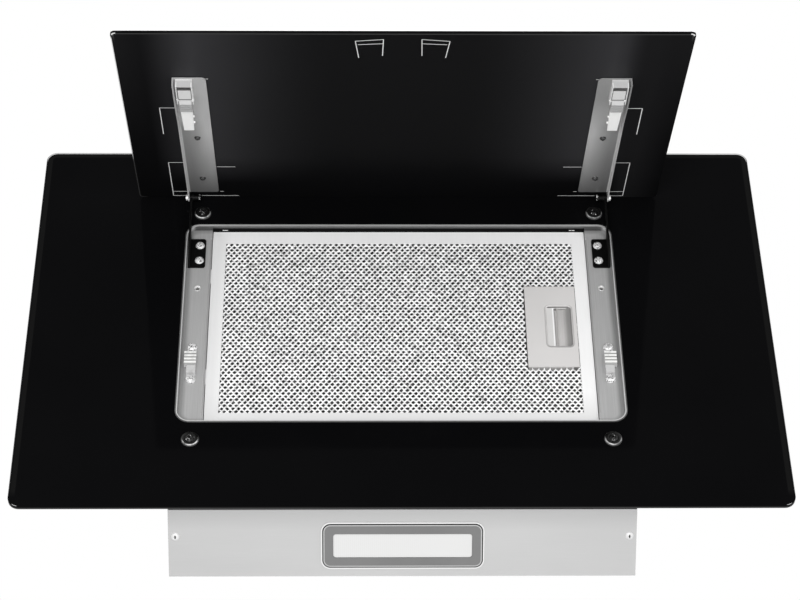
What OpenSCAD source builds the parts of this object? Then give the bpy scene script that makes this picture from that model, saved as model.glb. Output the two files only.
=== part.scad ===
// Inclined wall range hood with a flip-up front panel, in millimetres.
// The back face lies at Y = 0 against the wall, the front faces -Y and +Z is up.
// The origin is the centre of the four wall holes, on the back face.
// Most pieces lie on the sloping glass. They are drawn in slope coordinates:
// x across, v up the slope from the foot of the glass, h out of its front face.
// The pieces of the front panel are drawn closed, in the same coordinates, and then swung open.

/* [Main glass] */
// Width of the main glass
glass_w = 800; // [700:10:900]
// Length of the main glass, up its slope
glass_l = 492; // [484:1:520]
// Thickness of the main glass
glass_t = 4; // [3:0.5:5]
// Corner radius of the main glass
glass_r = 12; // [4:1:30]
// Angle between the glass and the horizontal
tilt = 55; // [52:1:58]
// Distance of the glass screws inward from the sides of the tray
glass_screw_in = 17.75; // [16:0.25:20]
// Distance of the glass screws beyond the ends of the tray
glass_screw_out = 19.5; // [18:0.25:24]
// Distance of the middle of the glass screws below the middle of the tray
glass_screw_drop = 2.3; // [0:0.1:5]
// Outer radius of the dished washers
washer_r = 9.4; // [8:0.1:10.5]
// Radius of the shank of the glass screws
glass_shank_r = 2.5; // [2:0.1:3]

/* [Casing] */
// Distance from the edge of the tray out to the sides of the casing
side_margin = 1.25; // [1.25:0.25:13]
// Height of the casing
body_h = 360; // [350:5:400]
// Depth from the wall to the foot of the glass
lower_depth = 76; // [74:1:90]
// Thickness of the casing sheet
sheet = 1; // [0.8:0.1:1.5]
// Thickness of the sloping front plate
front_t = 1.2; // [0.8:0.1:2]
// Thickness of the rubber pads behind the glass
pad_t = 2.2; // [2:0.1:4]
// Width of the folded flanges
flange_w = 12; // [10:1:14]
// Distance across between the wall holes
wall_hole_w = 380; // [300:5:400]
// Height between the wall holes
wall_hole_l = 200; // [160:5:220]
// Height of the middle of the wall holes above the underside
wall_hole_rise = 190; // [160:5:200]
// Radius of the wall holes
wall_hole_r = 4; // [3:0.5:5]

/* [Lamp] */
// Width of the lamp bezel
bezel_w = 166.2; // [152:0.2:182]
// Depth of the lamp bezel
bezel_d = 50; // [46:0.2:54]
// Corner radius of the lamp bezel
bezel_r = 9.7; // [6:0.1:11]
// Width of the lamp diffuser
diffuser_w = 141.4; // [120:0.2:142]
// Depth of the lamp diffuser
diffuser_d = 25.4; // [20:0.2:26]
// Distance from the front edge of the bottom plate to the middle of the lamp
lamp_set = 38.6; // [34:0.2:42]
// Height of the lamp housing
lamp_h = 15; // [12:0.5:30]

/* [Tray] */
// Width of the tray at each side of the filter, with its rim
tray_side_w = 30; // [29:0.5:32]
// Length of the tray over its rim
tray_l = 275.5; // [265:0.5:280]
// Distance of the middle of the tray below the middle of the glass
tray_drop = 1.9; // [0:0.1:4]
// Outer corner radius of the tray rim
tray_r = 16; // [12:0.5:20]
// Width of the tray rim
rim_w = 2.4; // [2:0.1:3]
// Height of the tray rim above the glass
rim_h = 0.9; // [0.5:0.1:1.2]
// Sheet thickness of the tray
tray_t = 1.2; // [1:0.1:1.5]

/* [Grease filter] */
// Width of the filter cassette
filter_w = 413.5; // [400:0.5:414]
// Thickness of the filter cassette
filter_t = 9; // [8.5:0.1:10]
// Depth of the filter's front below the front face of the glass
filter_sink = 9; // [8:0.1:9.5]
// Width of the filter frame at its sides
rail_w = 14.8; // [13:0.1:16]
// Width of the filter frame at its ends
rail_l = 16.5; // [12:0.1:20]
// Sideways gap between filter and tray
filter_gap = 0.7; // [0.5:0.1:1]
// Gap between the ends of the filter and the tray
filter_end_gap = 0.35; // [0.3:0.05:0.8]
// Width of the handle plate
handle_w = 55; // [50:0.5:60]
// Length of the handle plate
handle_l = 112; // [100:1:120]
// Width of the finger recess in the handle
recess_w = 27.3; // [26:0.1:29]
// Length of the finger recess in the handle
recess_l = 56; // [50:0.5:70]
// Travel of the latch slider from where it is drawn, away from the tray wall
latch_travel = 2.5; // [2:0.5:4]
// Travel of the latch slider from where it is drawn, into the tray wall
latch_reach = 2.7; // [2:0.1:3]

/* [Front panel] */
// Width of the front panel
panel_w = 581; // [560:1:620]
// Length of the front panel
panel_l = 357; // [350:1:364]
// Thickness of the front panel glass
panel_t = 4; // [3:0.5:5]
// Corner radius of the front panel
panel_r = 5.5; // [3:0.5:12]
// Gap between the closed panel and the main glass
panel_gap = 15.4; // [15.2:0.1:17]
// Angle at which the panel stands open
panel_open = 74.5; // [50:0.5:75]

/* [Hinge] */
// Distance from the hinge pin to the upper edge of the panel
pin_inset = 10; // [9:0.5:11]
// Distance from the hinge pin to the inner face of the panel
pin_drop = 6; // [6:0.1:6.4]
// Radius of the hinge pins
pin_r = 2.25; // [2:0.05:2.4]
// Running clearance of the hinge pins
pin_clear = 0.05; // [0.02:0.01:0.1]
// Gap between the hinge arms and the side walls of the tray
arm_gap = 1.85; // [1:0.05:3]
// Thickness of the hinge arms
arm_t = 2; // [1.5:0.1:2.5]
// Width of the hinge arm's foot
arm_foot_w = 18.7; // [17:0.1:20]
// Length of the hinge arm's foot
arm_foot_l = 41.3; // [38:0.1:45]
// Thickness of the hinge arm's foot
arm_foot_t = 1.5; // [1:0.1:2]
// Distance between the two screws of a hinge arm
arm_screw_pitch = 21.6; // [20:0.1:24]

/* [Panel brackets and catches] */
// Gap between a hinge arm and the flange of its panel bracket
bracket_gap = 1.5; // [1.3:0.1:2]
// Width of a panel bracket
bracket_w = 34.5; // [32:0.5:38]
// Length of a panel bracket
bracket_l = 252.5; // [250:0.5:256]
// Sheet thickness of a panel bracket
bracket_t = 1.5; // [1.2:0.1:1.5]
// Thickness of the adhesive pads under the brackets
bond_t = 0.8; // [0.5:0.1:0.8]
// Distance between the two screws of a bracket
bracket_screw_pitch = 93; // [80:1:110]
// Gap between a catch and the flange of its panel bracket
catch_gap = 2; // [1.5:0.1:2.5]
// Width of a catch housing
catch_w = 17; // [16:0.5:17.5]
// Length of the free tongue of a catch lever
tongue_l = 46; // [36:1:52]
// Number of ribs on a strike
rib_count = 4; // [3:1:5]
// Distance between the two screws of a strike
strike_screw_pitch = 42.8; // [41:0.2:48]

/* [Blower and outlet] */
// Radius of the impeller
impeller_r = 70; // [60:1:72]
// Length of the impeller along its axis
impeller_l = 96; // [80:2:100]
// Number of impeller blades
blade_count = 36; // [24:2:48]
// Inner length of the blower casing along the axis
blower_l = 116; // [110:2:124]
// Wall of the blower casing
blower_wall = 2; // [1.5:0.5:3]
// Distance from the wall to the impeller axis
blower_set = 95; // [92:1:100]
// Distance from the top of the casing to the impeller axis
blower_drop = 110; // [105:1:120]
// Radius of the blower inlets
inlet_r = 52; // [48:1:54]
// Radius of the motor body
motor_r = 40; // [34:1:42]
// Length of the motor body
motor_l = 50; // [40:1:60]
// Radius of the motor shaft
shaft_r = 4; // [3:0.5:5]
// Outer radius of the outlet collar
collar_r = 74.5; // [62:0.5:75]
// Height of the outlet collar
collar_h = 45; // [40:1:60]
// Wall of the outlet collar
collar_wall = 2; // [1.5:0.5:3]

/* [Hidden] */

$fn = 48;
cut = 1; // overshoot of every cut
fit = 0.3; // gap between pieces that clear each other

// Widths that follow from the filter
tray_w = filter_w + 2 * tray_side_w;
body_w = tray_w + 2 * side_margin;

// Places of the foot of the glass and of the casing
foot_rise = 1.5; // height of the underside above the foot of the glass
foot_set = 4; // distance of the bottom plate's front edge behind that foot
foot_y = -lower_depth;
plate_z = -wall_hole_rise;
foot_z = plate_z - foot_rise;
floor_z = plate_z + sheet;
top_z = plate_z + body_h;
ceiling_z = top_z - sheet;
plate_front = foot_y + foot_set;
side_x = body_w / 2 - sheet;

// Distance up the slope, and Y, of the point at height z on the plane at level h
function v_at(z, h) = (z - foot_z + h * cos(tilt)) / sin(tilt);
function y_at(z, h) = foot_y - v_at(z, h) * cos(tilt) - h * sin(tilt);

// Levels out of the glass
front_h = -glass_t - pad_t; // front face of the front plate and underside of the tray floor
tray_floor_h = front_h + tray_t;
filter_h = -filter_sink;
filter_back_h = filter_h - filter_t;

// Tray and filter
tray_v = glass_l / 2 - tray_drop;
pocket_w = tray_w - 2 * rim_w;
pocket_l = tray_l - 2 * rim_w;
pocket_r = tray_r - rim_w;
tray_body_w = pocket_w + 2 * tray_t;
tray_body_l = pocket_l + 2 * tray_t;
cutout_gap = 0.5;
glass_screw_w = tray_w - 2 * glass_screw_in;
glass_screw_l = tray_l + 2 * glass_screw_out;
glass_screw_v = tray_v - glass_screw_drop;
well_x = filter_w / 2 + filter_gap;
well_wall_x = well_x + tray_t;
filter_l = pocket_l - 2 * filter_end_gap;
window_w = filter_w - 2 * rail_w;
window_l = filter_l - 2 * rail_l;
ledge_w = 10; // ledge of the tray behind the filter
fold = 2.6; // size of the fold between tray floor and well
end_slot_h = 2.8; // depth of the long slot in the tray's upper wall below the glass
end_slot_rise = 2; // height of that slot above the ledge

// Filter layers
lip_t = 1.2; // front and back lip of the filter frame
mesh_t = 1;
mesh_bite = 8; // how far the mesh goes under the lips
tab_l = 3.2;
tab_w = 20;
tab_t = 1;
tab_spread = 140; // distance between the two tabs

// Handle and latch
handle_v = tray_v - 1.2;
handle_x = filter_w / 2 - rail_w - 0.6 - handle_w / 2;
handle_h = filter_h + 0.6;
handle_lip = 1;
handle_back_h = filter_back_h + lip_t + 0.4;
recess_x = handle_x + 8.4;
recess_r = 4;
recess_floor_h = handle_back_h + 1.2;
slider_t = 1.8;
slider_h = filter_h - lip_t - mesh_t - 0.5 - slider_t;
slider_l = recess_l + 6;
flap_w = 8.4;
bolt_w = 12;
slot_gap = 0.25; // clearance of the slider in its slot
latch_spring_r = 0.8;
slot_x = recess_x - recess_w / 2 - latch_travel - 9;

// Front panel and hinge
arm_x = pocket_w / 2 - arm_gap;
bracket_x = arm_x + bracket_gap + bracket_t;
catch_x = bracket_x - bracket_t - catch_gap - catch_w / 2;
hinge_edge_v = glass_l / 2 + panel_l / 2;
pin_v = hinge_edge_v - pin_inset;
pin_h = panel_gap - pin_drop;
arm_end_r = 4;
bracket_h = panel_gap - bond_t; // glass side of the bracket plate
bracket_face_h = bracket_h - bracket_t;
bracket_top_v = pin_v - 7; // end of the bracket plate near the hinge
bracket_low_v = bracket_top_v - bracket_l;
ear_r = 4.5;
bracket_corner = 5; // corner radius of the bracket plate at its free end
bracket_end_corner = 3; // corner radius at the hinge
bracket_head_r = 3.4;
bracket_head_t = 2.6;
bracket_shank_r = 1.6;
flange_deep = 9.2; // depth of the flange beside the catch
flange_low = 5.7; // depth of the flange along the bracket
bracket_screw_x = bracket_x - 18.5;
bracket_screw_set = 80.5; // distance of the middle of the bracket screws below its end
bracket_screw_v = bracket_top_v - bracket_screw_set;
flange_step = 46; // length of the deep part of the flange
flange_slope = 42; // length over which the flange narrows
pin_head_r = 3.2;
pin_head_t = 2.2;
stack_l = 6.5;
stack_washer_t = 1.2;
washer_clear = 0.1;

// Hinge arm foot, strikes and rivets on the tray floor
arm_foot_v = tray_v + pocket_l / 2 - 36.15;
arm_screw_x = arm_x - 12.2;
arm_screw_r = 2;
arm_head_r = 5;
arm_head_t = 2.4;
strike_block_l = 17.4;
strike_block_w = 12.8;
strike_block_rise = 11.7; // distance of the block's upper end above the middle of the strike
strike_x = catch_x - 1; // line of the strike's screws
strike_block_x = catch_x + 0.2;
strike_foot_w = 9.6;
strike_foot_l = 9.4;
strike_plate_t = 0.8;
strike_top_h = 0.2;
rib_h = 1.6;
strike_screw_r = 2;
strike_head_r = 5.6;
strike_head_t = 3;
rivet_rise = 49.3; // distance of the rivets above the middle of the tray
rivet_v = tray_v + rivet_rise;
rivet_x = pocket_w / 2 - 13.65;
rivet_r = 2.6;
rivet_bore_r = 1.9;
rivet_head_r = 3.4;
rivet_flare_r = 3;

// Catches, in closed slope coordinates
catch_face_h = bracket_face_h;
catch_floor_t = 1;
catch_deep_h = panel_gap - 11;
catch_end_v = bracket_low_v + 1.5;
catch_l = 27.5;
catch_pin_v = catch_end_v + catch_l + 4.5;
strike_v = catch_pin_v - 0.1;
catch_pin_h = panel_gap - 8;
catch_pin_r = 1.5;
catch_wall = 1;
lever_w = catch_w - 2 * catch_wall - 2.4;
lever_root_l = 17;
lever_tip_w = 10.3;
lever_back_w = catch_w - 2 * catch_wall - 1;
lever_back_v = catch_end_v + 9; // end of the lever's plate between the housing walls
nose_h = strike_top_h + rib_h + 0.5;
spring_w = 0.9;

// Blower
blower_y = -blower_set;
blower_z = top_z - blower_drop;
scroll_start = 50; // angle of the cut-off, from +Y towards +Z
scroll_sweep = 230;
scroll_r = impeller_r + 6;
scroll_growth = 16.6;
scroll_step = 10;
exit_low_y = blower_y - scroll_r - scroll_growth;
exit_high_y = blower_y + scroll_r * cos(scroll_start);
collar_y = (exit_low_y + exit_high_y) / 2;
blower_half = blower_l / 2 + blower_wall;
blower_flange = 9;
blower_screw_inset = 7;
motor_x = blower_half + 5;
motor_neck_r = 14;
motor_neck_l = 4;
motor_foot_out = 13; // how far the motor bracket's feet stand outside the inlet
disc_x = 8;
blade_t = 1.2;
ring_t = 3;
hub_r = 10;
bell_h = 3;

// Outlet
collar_in_r = collar_r - collar_wall;
collar_flange_r = collar_r + 12;
collar_flange_t = 2;
collar_screw_r = collar_r + 7;
flap_z = top_z + 20;
flap_t = 1.2;
flap_r = collar_in_r - 1;
flap_pin_r = 1.5;
flap_knuckle_r = 2.7;
knuckle_l = 18;
knuckle_pitch = 22;
knuckle_gap = 0.5;
function knuckle_places(side) = [for (i = [0, 1]) (2 * i - (side < 0 ? 2 : 1)) * knuckle_pitch];

// Electrics
box_w = 80;
box_d = 46;
box_h = 34;
box_x = flange_w + 25 + box_w / 2 - side_x;
box_y = -6 - box_d / 2;
gland_r = 7;
gland_bore_r = 4;
gland_z = floor_z + 18;
driver_w = 80;
driver_l = 40;
driver_h = 26;
driver_tab = 10;
driver_x = side_x - flange_w - 5 - driver_tab - driver_w / 2;
board_w = 170;
board_l = 30;
board_v = 46;
board_t = 1.6;
board_foot_w = 12;
cap_r = 14;
cap_h = 42;

// Helpers
module on_slope() {
    translate([0, foot_y, foot_z]) rotate([180 - tilt, 0, 0]) children();
}

module swung_open() {
    on_slope()
        translate([0, pin_v, pin_h])
            rotate([-panel_open, 0, 0])
                translate([0, -pin_v, -pin_h]) children();
}

module on_side(side) {
    mirror([side < 0 ? 1 : 0, 0, 0]) children();
}

module both_sides() {
    for (side = [-1, 1]) on_side(side) children();
}

module rounded_rect(w, l, r) {
    square([w - 2 * r, l], center = true);
    square([w, l - 2 * r], center = true);
    for (x = [-1, 1], y = [-1, 1])
        translate([x * (w / 2 - r), y * (l / 2 - r)]) circle(r);
}

module rounded_plate(w, l, t, r) {
    linear_extrude(t) rounded_rect(w, l, r);
}

// A box centred on x and v, from level h up by t
module slab(x, v, h, w, l, t) {
    translate([x - w / 2, v - l / 2, h]) cube([w, l, t]);
}

// An outline of [y, z] points, drawn along X
module along_x(x, length, points) {
    translate([x, 0, 0]) rotate([90, 0, 90]) linear_extrude(length) polygon(points);
}

// An outline of [v, h] points, drawn along x
module across(x, t, points) {
    translate([x, 0, 0]) rotate([90, 0, 90]) linear_extrude(t) polygon(points);
}

// A round bar along x
module bar(x, length, r) {
    translate([x, 0, 0]) rotate([0, 90, 0]) cylinder(r = r, h = length);
}

module tube(x, length, r, bore_r) {
    difference() {
        bar(x, length, r);
        bar(x - cut, length + 2 * cut, bore_r);
    }
}

module glass_screw_places() {
    for (x = [-1, 1], y = [-1, 1])
        translate([x * glass_screw_w / 2, glass_screw_v + y * glass_screw_l / 2, 0]) children();
}

module wall_hole_places() {
    for (x = [-1, 1], z = [-1, 1])
        translate([x * wall_hole_w / 2, 0, z * wall_hole_l / 2]) children();
}

module bottom_screw_places() {
    for (x = [-1, 1])
        translate([x * (side_x - 6.2), plate_front + 28.8, plate_z]) children();
}

module arm_screw_places() {
    for (y = [-1, 1])
        translate([arm_screw_x, arm_foot_v + y * arm_screw_pitch / 2, tray_floor_h]) children();
}

module strike_screw_places() {
    for (y = [-1, 1])
        translate([strike_x, strike_v + y * strike_screw_pitch / 2, tray_floor_h]) children();
}

module rivet_places() {
    translate([rivet_x, rivet_v, tray_floor_h]) children();
}

module bracket_screw_places() {
    for (y = [-1, 1])
        translate([bracket_screw_x, bracket_screw_v + y * bracket_screw_pitch / 2, bracket_face_h])
            children();
}

module collar_screw_places() {
    for (a = [0:90:270])
        translate([0, collar_y, 0]) rotate([0, 0, a]) translate([collar_screw_r, 0, 0]) children();
}

module blower_screw_places() {
    for (x = [-1, 1], y = [exit_low_y + blower_screw_inset, exit_high_y - blower_screw_inset])
        translate([x * (blower_half + blower_flange / 2), y, ceiling_z]) children();
}

// Casing
module side_panel(side) {
    back_gap = 2 * sheet;
    color("silver")
        on_side(side) difference() {
            union() {
                along_x(side_x, sheet, [
                    [0, floor_z],
                    [y_at(floor_z, front_h), floor_z],
                    [y_at(ceiling_z, front_h), ceiling_z],
                    [0, ceiling_z]
                ]);
                bottom_front = plate_front + 8;
                translate([side_x - flange_w, bottom_front, floor_z])
                    cube([flange_w, -bottom_front - back_gap, sheet]);
                top_front = y_at(ceiling_z, front_h) + 14;
                translate([side_x - flange_w, top_front, ceiling_z - sheet])
                    cube([flange_w, -top_front - back_gap, sheet]);
                translate([side_x - flange_w, -back_gap, floor_z])
                    cube([flange_w, sheet, ceiling_z - floor_z]);
            }
            bottom_screw_places() cylinder(r = 1.8, h = 4 * sheet);
        }
}

module top_panel() {
    color("silver") difference() {
        front_y = y_at(top_z, front_h);
        translate([-body_w / 2, front_y, ceiling_z]) cube([body_w, -front_y, sheet]);
        translate([0, collar_y, ceiling_z - cut]) cylinder(r = collar_in_r, h = sheet + 2 * cut, $fn = 96);
        collar_screw_places() translate([0, 0, ceiling_z - cut]) cylinder(r = 1.8, h = sheet + 2 * cut);
        blower_screw_places() translate([0, 0, -cut]) cylinder(r = 1.8, h = sheet + 2 * cut);
    }
}

module back_panel() {
    color("silver") difference() {
        translate([-side_x, -sheet, floor_z]) cube([2 * side_x, sheet, ceiling_z - floor_z]);
        wall_hole_places() rotate([90, 0, 0]) translate([0, 0, -cut]) cylinder(r = wall_hole_r, h = 4);
        translate([box_x, cut, gland_z]) rotate([90, 0, 0]) cylinder(r = gland_r, h = sheet + 2 * cut);
    }
}

module front_plate() {
    low_v = v_at(floor_z + 0.2, front_h);
    high_v = v_at(ceiling_z - 0.2, front_h - front_t);
    color("silver") on_slope() difference() {
        slab(0, (low_v + high_v) / 2, front_h - front_t, 2 * side_x, high_v - low_v, front_t);
        slab(0, tray_v, front_h - front_t - cut,
            2 * (well_wall_x + fit), tray_body_l + 2 * fit, front_t + 2 * cut);
        glass_screw_places() translate([0, 0, front_h - front_t - cut])
            cylinder(r = glass_shank_r, h = front_t + 2 * cut);
        both_sides() fastener_holes();
    }
}

// Holes through the tray floor and the plate behind it
module fastener_holes() {
    depth = tray_t + front_t + 2 * cut;
    arm_screw_places() translate([0, 0, -depth + cut]) cylinder(r = arm_screw_r, h = depth);
    strike_screw_places() translate([0, 0, -depth + cut]) cylinder(r = strike_screw_r, h = depth);
    rivet_places() translate([0, 0, -depth + cut]) cylinder(r = rivet_r, h = depth);
}

module bottom_plate() {
    color("gainsboro") difference() {
        translate([-body_w / 2, plate_front, plate_z]) cube([body_w, -plate_front, sheet]);
        translate([0, plate_front + lamp_set, plate_z - cut])
            rounded_plate(bezel_w - 8, bezel_d - 8, sheet + 2 * cut, bezel_r - 3);
        bottom_screw_places() translate([0, 0, -cut]) cylinder(r = 1.8, h = sheet + 2 * cut);
    }
}

module bottom_screws() {
    color("silver") bottom_screw_places()
        mirror([0, 0, 1]) rotate([0, 0, -30]) pan_screw(4.2, 1.6, 1.8, 6, 1.7);
}

// Glass and its fasteners
module main_glass() {
    color([0.03, 0.03, 0.035]) on_slope() difference() {
        translate([0, glass_l / 2, -glass_t]) rounded_plate(glass_w, glass_l, glass_t, glass_r);
        translate([0, tray_v, -glass_t - cut])
            rounded_plate(tray_body_w + 2 * cutout_gap, tray_body_l + 2 * cutout_gap,
                glass_t + 2 * cut, tray_r - cutout_gap);
        glass_screw_places() translate([0, 0, -glass_t - cut])
            cylinder(r = glass_shank_r + 1, h = glass_t + 2 * cut);
    }
}

module glass_pads() {
    color([0.1, 0.1, 0.1]) on_slope() glass_screw_places() translate([0, 0, front_h])
        difference() {
            cylinder(r = washer_r, h = pad_t);
            translate([0, 0, -cut]) cylinder(r = glass_shank_r, h = pad_t + 2 * cut);
        }
}

module glass_washers() {
    color([0.2, 0.2, 0.21]) on_slope() glass_screw_places() rotate_extrude($fn = 64)
        polygon([
            [glass_shank_r, 0], [washer_r, 0], [washer_r, 0.8], [washer_r - 0.6, 1.8],
            [washer_r - 1.8, 2.6], [washer_r - 3.4, 3], [4.6, 2.7], [glass_shank_r, 1.4]
        ]);
}

module glass_screws() {
    head_low = 1.4;
    head_step = 2.7;
    end_h = front_h - front_t - 4;
    color([0.3, 0.3, 0.31]) on_slope() glass_screw_places() difference() {
        union() {
            translate([0, 0, end_h]) cylinder(r = glass_shank_r, h = head_low - end_h);
            translate([0, 0, head_low]) cylinder(r1 = glass_shank_r, r2 = 4.6, h = head_step - head_low);
            translate([0, 0, head_step]) cylinder(r1 = 4.6, r2 = 2.6, h = 1.4);
            translate([0, 0, front_h - front_t - 3]) cylinder(r = 4.6, h = 3, $fn = 6);
        }
        translate([0, 0, 2.4]) cylinder(r = 1.6, h = 4, $fn = 6);
    }
}

// Tray
module filter_tray() {
    depth_h = filter_back_h;
    color([0.62, 0.62, 0.62]) on_slope() difference() {
        translate([0, tray_v, 0]) union() {
            rounded_plate(tray_w, tray_l, rim_h, tray_r);
            translate([0, 0, front_h])
                rounded_plate(tray_body_w, tray_body_l, -front_h, pocket_r + tray_t);
            slab(0, 0, depth_h - tray_t, 2 * well_wall_x, tray_body_l, front_h - depth_h + tray_t);
        }
        translate([0, tray_v, tray_floor_h])
            rounded_plate(pocket_w, pocket_l, rim_h - tray_floor_h + cut, pocket_r);
        slab(0, tray_v, depth_h, 2 * well_x, pocket_l, tray_floor_h - depth_h + cut);
        slab(0, tray_v, depth_h - tray_t - cut,
            2 * (well_x - ledge_w), pocket_l - 2 * ledge_w, tray_t + 2 * cut);
        for (x = [-1, 1]) translate([x * well_x, tray_v, tray_floor_h])
            rotate([0, 45, 0]) cube([fold, pocket_l - 2 * pocket_r, fold], center = true);
        both_sides() fastener_holes();
        for (y = [-1, 1])
            slab(-well_x - tray_t / 2, tray_v + y * tab_spread / 2, filter_h - tab_t - 1.4,
                tray_t + 2 * cut, tab_w + 1, tab_t + 1.6);
        slab(well_x + tray_t / 2, handle_v, slider_h - 0.7,
            tray_t + 2 * cut, bolt_w + 1.6, slider_t + 1.4);
        slab(0, tray_v + pocket_l / 2 + tray_t / 2, depth_h + end_slot_rise,
            2 * well_x, tray_t + 2 * cut, -end_slot_h - end_slot_rise - depth_h);
    }
}

module tray_rivets() {
    head_t = 0.9;
    end_h = -tray_t - front_t - 1;
    color([0.75, 0.75, 0.75]) on_slope() both_sides() rivet_places() difference() {
        union() {
            cylinder(r = rivet_head_r, h = head_t);
            translate([0, 0, end_h]) cylinder(r = rivet_r, h = -end_h);
        }
        translate([0, 0, end_h - cut]) cylinder(r = rivet_bore_r, h = -end_h + 2 * cut);
        translate([0, 0, -0.6]) cylinder(r1 = rivet_bore_r, r2 = rivet_flare_r, h = head_t + 0.6);
    }
}

// Hinge
module hinge_arm(side) {
    foot_low_v = arm_foot_v - arm_foot_l / 2;
    foot_high_v = arm_foot_v + arm_foot_l / 2;
    corner = 3;
    color([0.07, 0.07, 0.07]) on_slope() on_side(side) difference() {
        union() {
            slab(arm_x - arm_foot_w / 2 + corner / 2, arm_foot_v, tray_floor_h,
                arm_foot_w - corner, arm_foot_l, arm_foot_t);
            slab(arm_x - arm_foot_w / 2, arm_foot_v, tray_floor_h,
                arm_foot_w, arm_foot_l - 2 * corner, arm_foot_t);
            for (y = [-1, 1])
                translate([arm_x - arm_foot_w + corner, arm_foot_v + y * (arm_foot_l / 2 - corner),
                        tray_floor_h])
                    cylinder(r = corner, h = arm_foot_t);
            across(arm_x - arm_t, arm_t, [
                [foot_low_v, tray_floor_h],
                [foot_low_v, tray_floor_h + 4],
                [foot_low_v + 26, pin_h - 1],
                [pin_v - 36, pin_h + 2],
                [pin_v - 4, pin_h + 3],
                [pin_v, pin_h + 3],
                [pin_v, pin_h - 3],
                [pin_v - 6, pin_h - 5.5],
                [pin_v - 9, rim_h + 1.1],
                [tray_v + pocket_l / 2 - 8, rim_h + 1.1],
                [foot_high_v, tray_floor_h]
            ]);
            translate([0, pin_v, pin_h]) bar(arm_x - arm_t, arm_t, arm_end_r);
        }
        translate([0, pin_v, pin_h]) bar(arm_x - arm_t - cut, arm_t + 2 * cut, pin_r);
        arm_screw_places() translate([0, 0, -cut]) cylinder(r = arm_screw_r, h = 4);
    }
}

module pan_screw(head_r, head_t, shank_r, shank_l, slot_r) {
    difference() {
        union() {
            cylinder(r1 = head_r, r2 = head_r * 0.86, h = head_t * 0.6);
            translate([0, 0, head_t * 0.6]) cylinder(r1 = head_r * 0.86, r2 = head_r * 0.5, h = head_t * 0.4);
            translate([0, 0, -shank_l]) cylinder(r = shank_r, h = shank_l);
        }
        for (a = [0, 90]) rotate([0, 0, a + 30])
            translate([-slot_r, -0.5, head_t * 0.45]) cube([2 * slot_r, 1, head_t]);
    }
}

module hinge_arm_screws() {
    shank = arm_foot_t + tray_t + front_t + 1.5;
    color([0.8, 0.8, 0.8]) on_slope() both_sides() arm_screw_places()
        translate([0, 0, arm_foot_t]) pan_screw(arm_head_r, arm_head_t, arm_screw_r, shank, 2.8);
}

module hinge_pins() {
    start_x = arm_x - arm_t - stack_l;
    head_x = bracket_x + fit;
    color([0.75, 0.75, 0.75]) on_slope() both_sides() translate([0, pin_v, pin_h]) {
        bar(start_x - 2, head_x - start_x + 2, pin_r);
        bar(head_x, pin_head_t, pin_head_r);
        bar(start_x - 2, 2, pin_r + 1.4);
    }
}

module hinge_washers() {
    gap = bracket_x - bracket_t - arm_x;
    color([0.5, 0.5, 0.5]) on_slope() both_sides() translate([0, pin_v, pin_h]) {
        tube(arm_x, gap - washer_clear, arm_end_r - 0.2, pin_r);
        tube(arm_x - arm_t - stack_l, stack_l - stack_washer_t, pin_r + 1.2, pin_r);
        tube(arm_x - arm_t - stack_washer_t, stack_washer_t, pin_r + 1.9, pin_r);
    }
}

// Strikes
module strike(side) {
    plate_l = strike_screw_pitch + 2 * strike_screw_r + 6;
    block_high_v = strike_v + strike_block_rise;
    block_low_v = block_high_v - strike_block_l;
    foot_low_v = block_low_v - strike_foot_l;
    rib_pitch = strike_block_l / rib_count;
    base_h = tray_floor_h + strike_plate_t;
    color([0.85, 0.85, 0.84]) on_slope() on_side(side) difference() {
        union() {
            translate([strike_x, strike_v, tray_floor_h])
                rounded_plate(strike_foot_w, plate_l, strike_plate_t, 3);
            slab(strike_block_x, (block_low_v + block_high_v) / 2, base_h,
                strike_block_w, strike_block_l, strike_top_h - base_h);
            slab(strike_x, (block_low_v + foot_low_v) / 2, base_h,
                strike_foot_w, strike_foot_l, strike_top_h - base_h - 0.7);
            for (i = [0:rib_count - 1])
                slab(strike_block_x, block_high_v - (i + 0.25) * rib_pitch, strike_top_h,
                    strike_block_w, rib_pitch / 2, rib_h);
        }
        strike_screw_places() translate([0, 0, -cut]) cylinder(r = strike_screw_r, h = 4);
    }
}

module strike_screws() {
    shank = strike_plate_t + tray_t + front_t + 1.5;
    color([0.85, 0.85, 0.85]) on_slope() both_sides() strike_screw_places()
        translate([0, 0, strike_plate_t])
            pan_screw(strike_head_r, strike_head_t, strike_screw_r, shank, 3);
}

// Lamp
lamp_y = plate_front + lamp_set;
bezel_t = 1.6;
bezel_lip_t = 1.2;
bezel_lip_w = 1.3;
bezel_groove_w = 1.1;
bezel_groove_t = 0.3; // sheet left under the groove
diffuser_rim = 3;
diffuser_seat = 1;
skirt = 5;

// The bezel's flange, drawn in from its edge
module bezel_flange(inset, t) {
    translate([0, 0, -t])
        rounded_plate(bezel_w - 2 * inset, bezel_d - 2 * inset, t, bezel_r - inset);
}

module lamp_bezel() {
    color([0.52, 0.51, 0.51]) translate([0, lamp_y, plate_z]) difference() {
        union() {
            difference() {
                bezel_flange(0, bezel_lip_t);
                translate([0, 0, -bezel_groove_t]) bezel_flange(bezel_lip_w, bezel_t);
            }
            bezel_flange(bezel_lip_w + bezel_groove_w, bezel_t);
            rounded_plate(bezel_w - 9, bezel_d - 9, skirt, bezel_r - 4.5);
        }
        translate([0, 0, -bezel_t - cut]) rounded_plate(diffuser_w, diffuser_d, skirt + 3 * cut, 3);
        translate([0, 0, diffuser_seat])
            rounded_plate(diffuser_w + 2 * diffuser_rim, diffuser_d + 2 * diffuser_rim, skirt, 4);
    }
}

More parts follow.
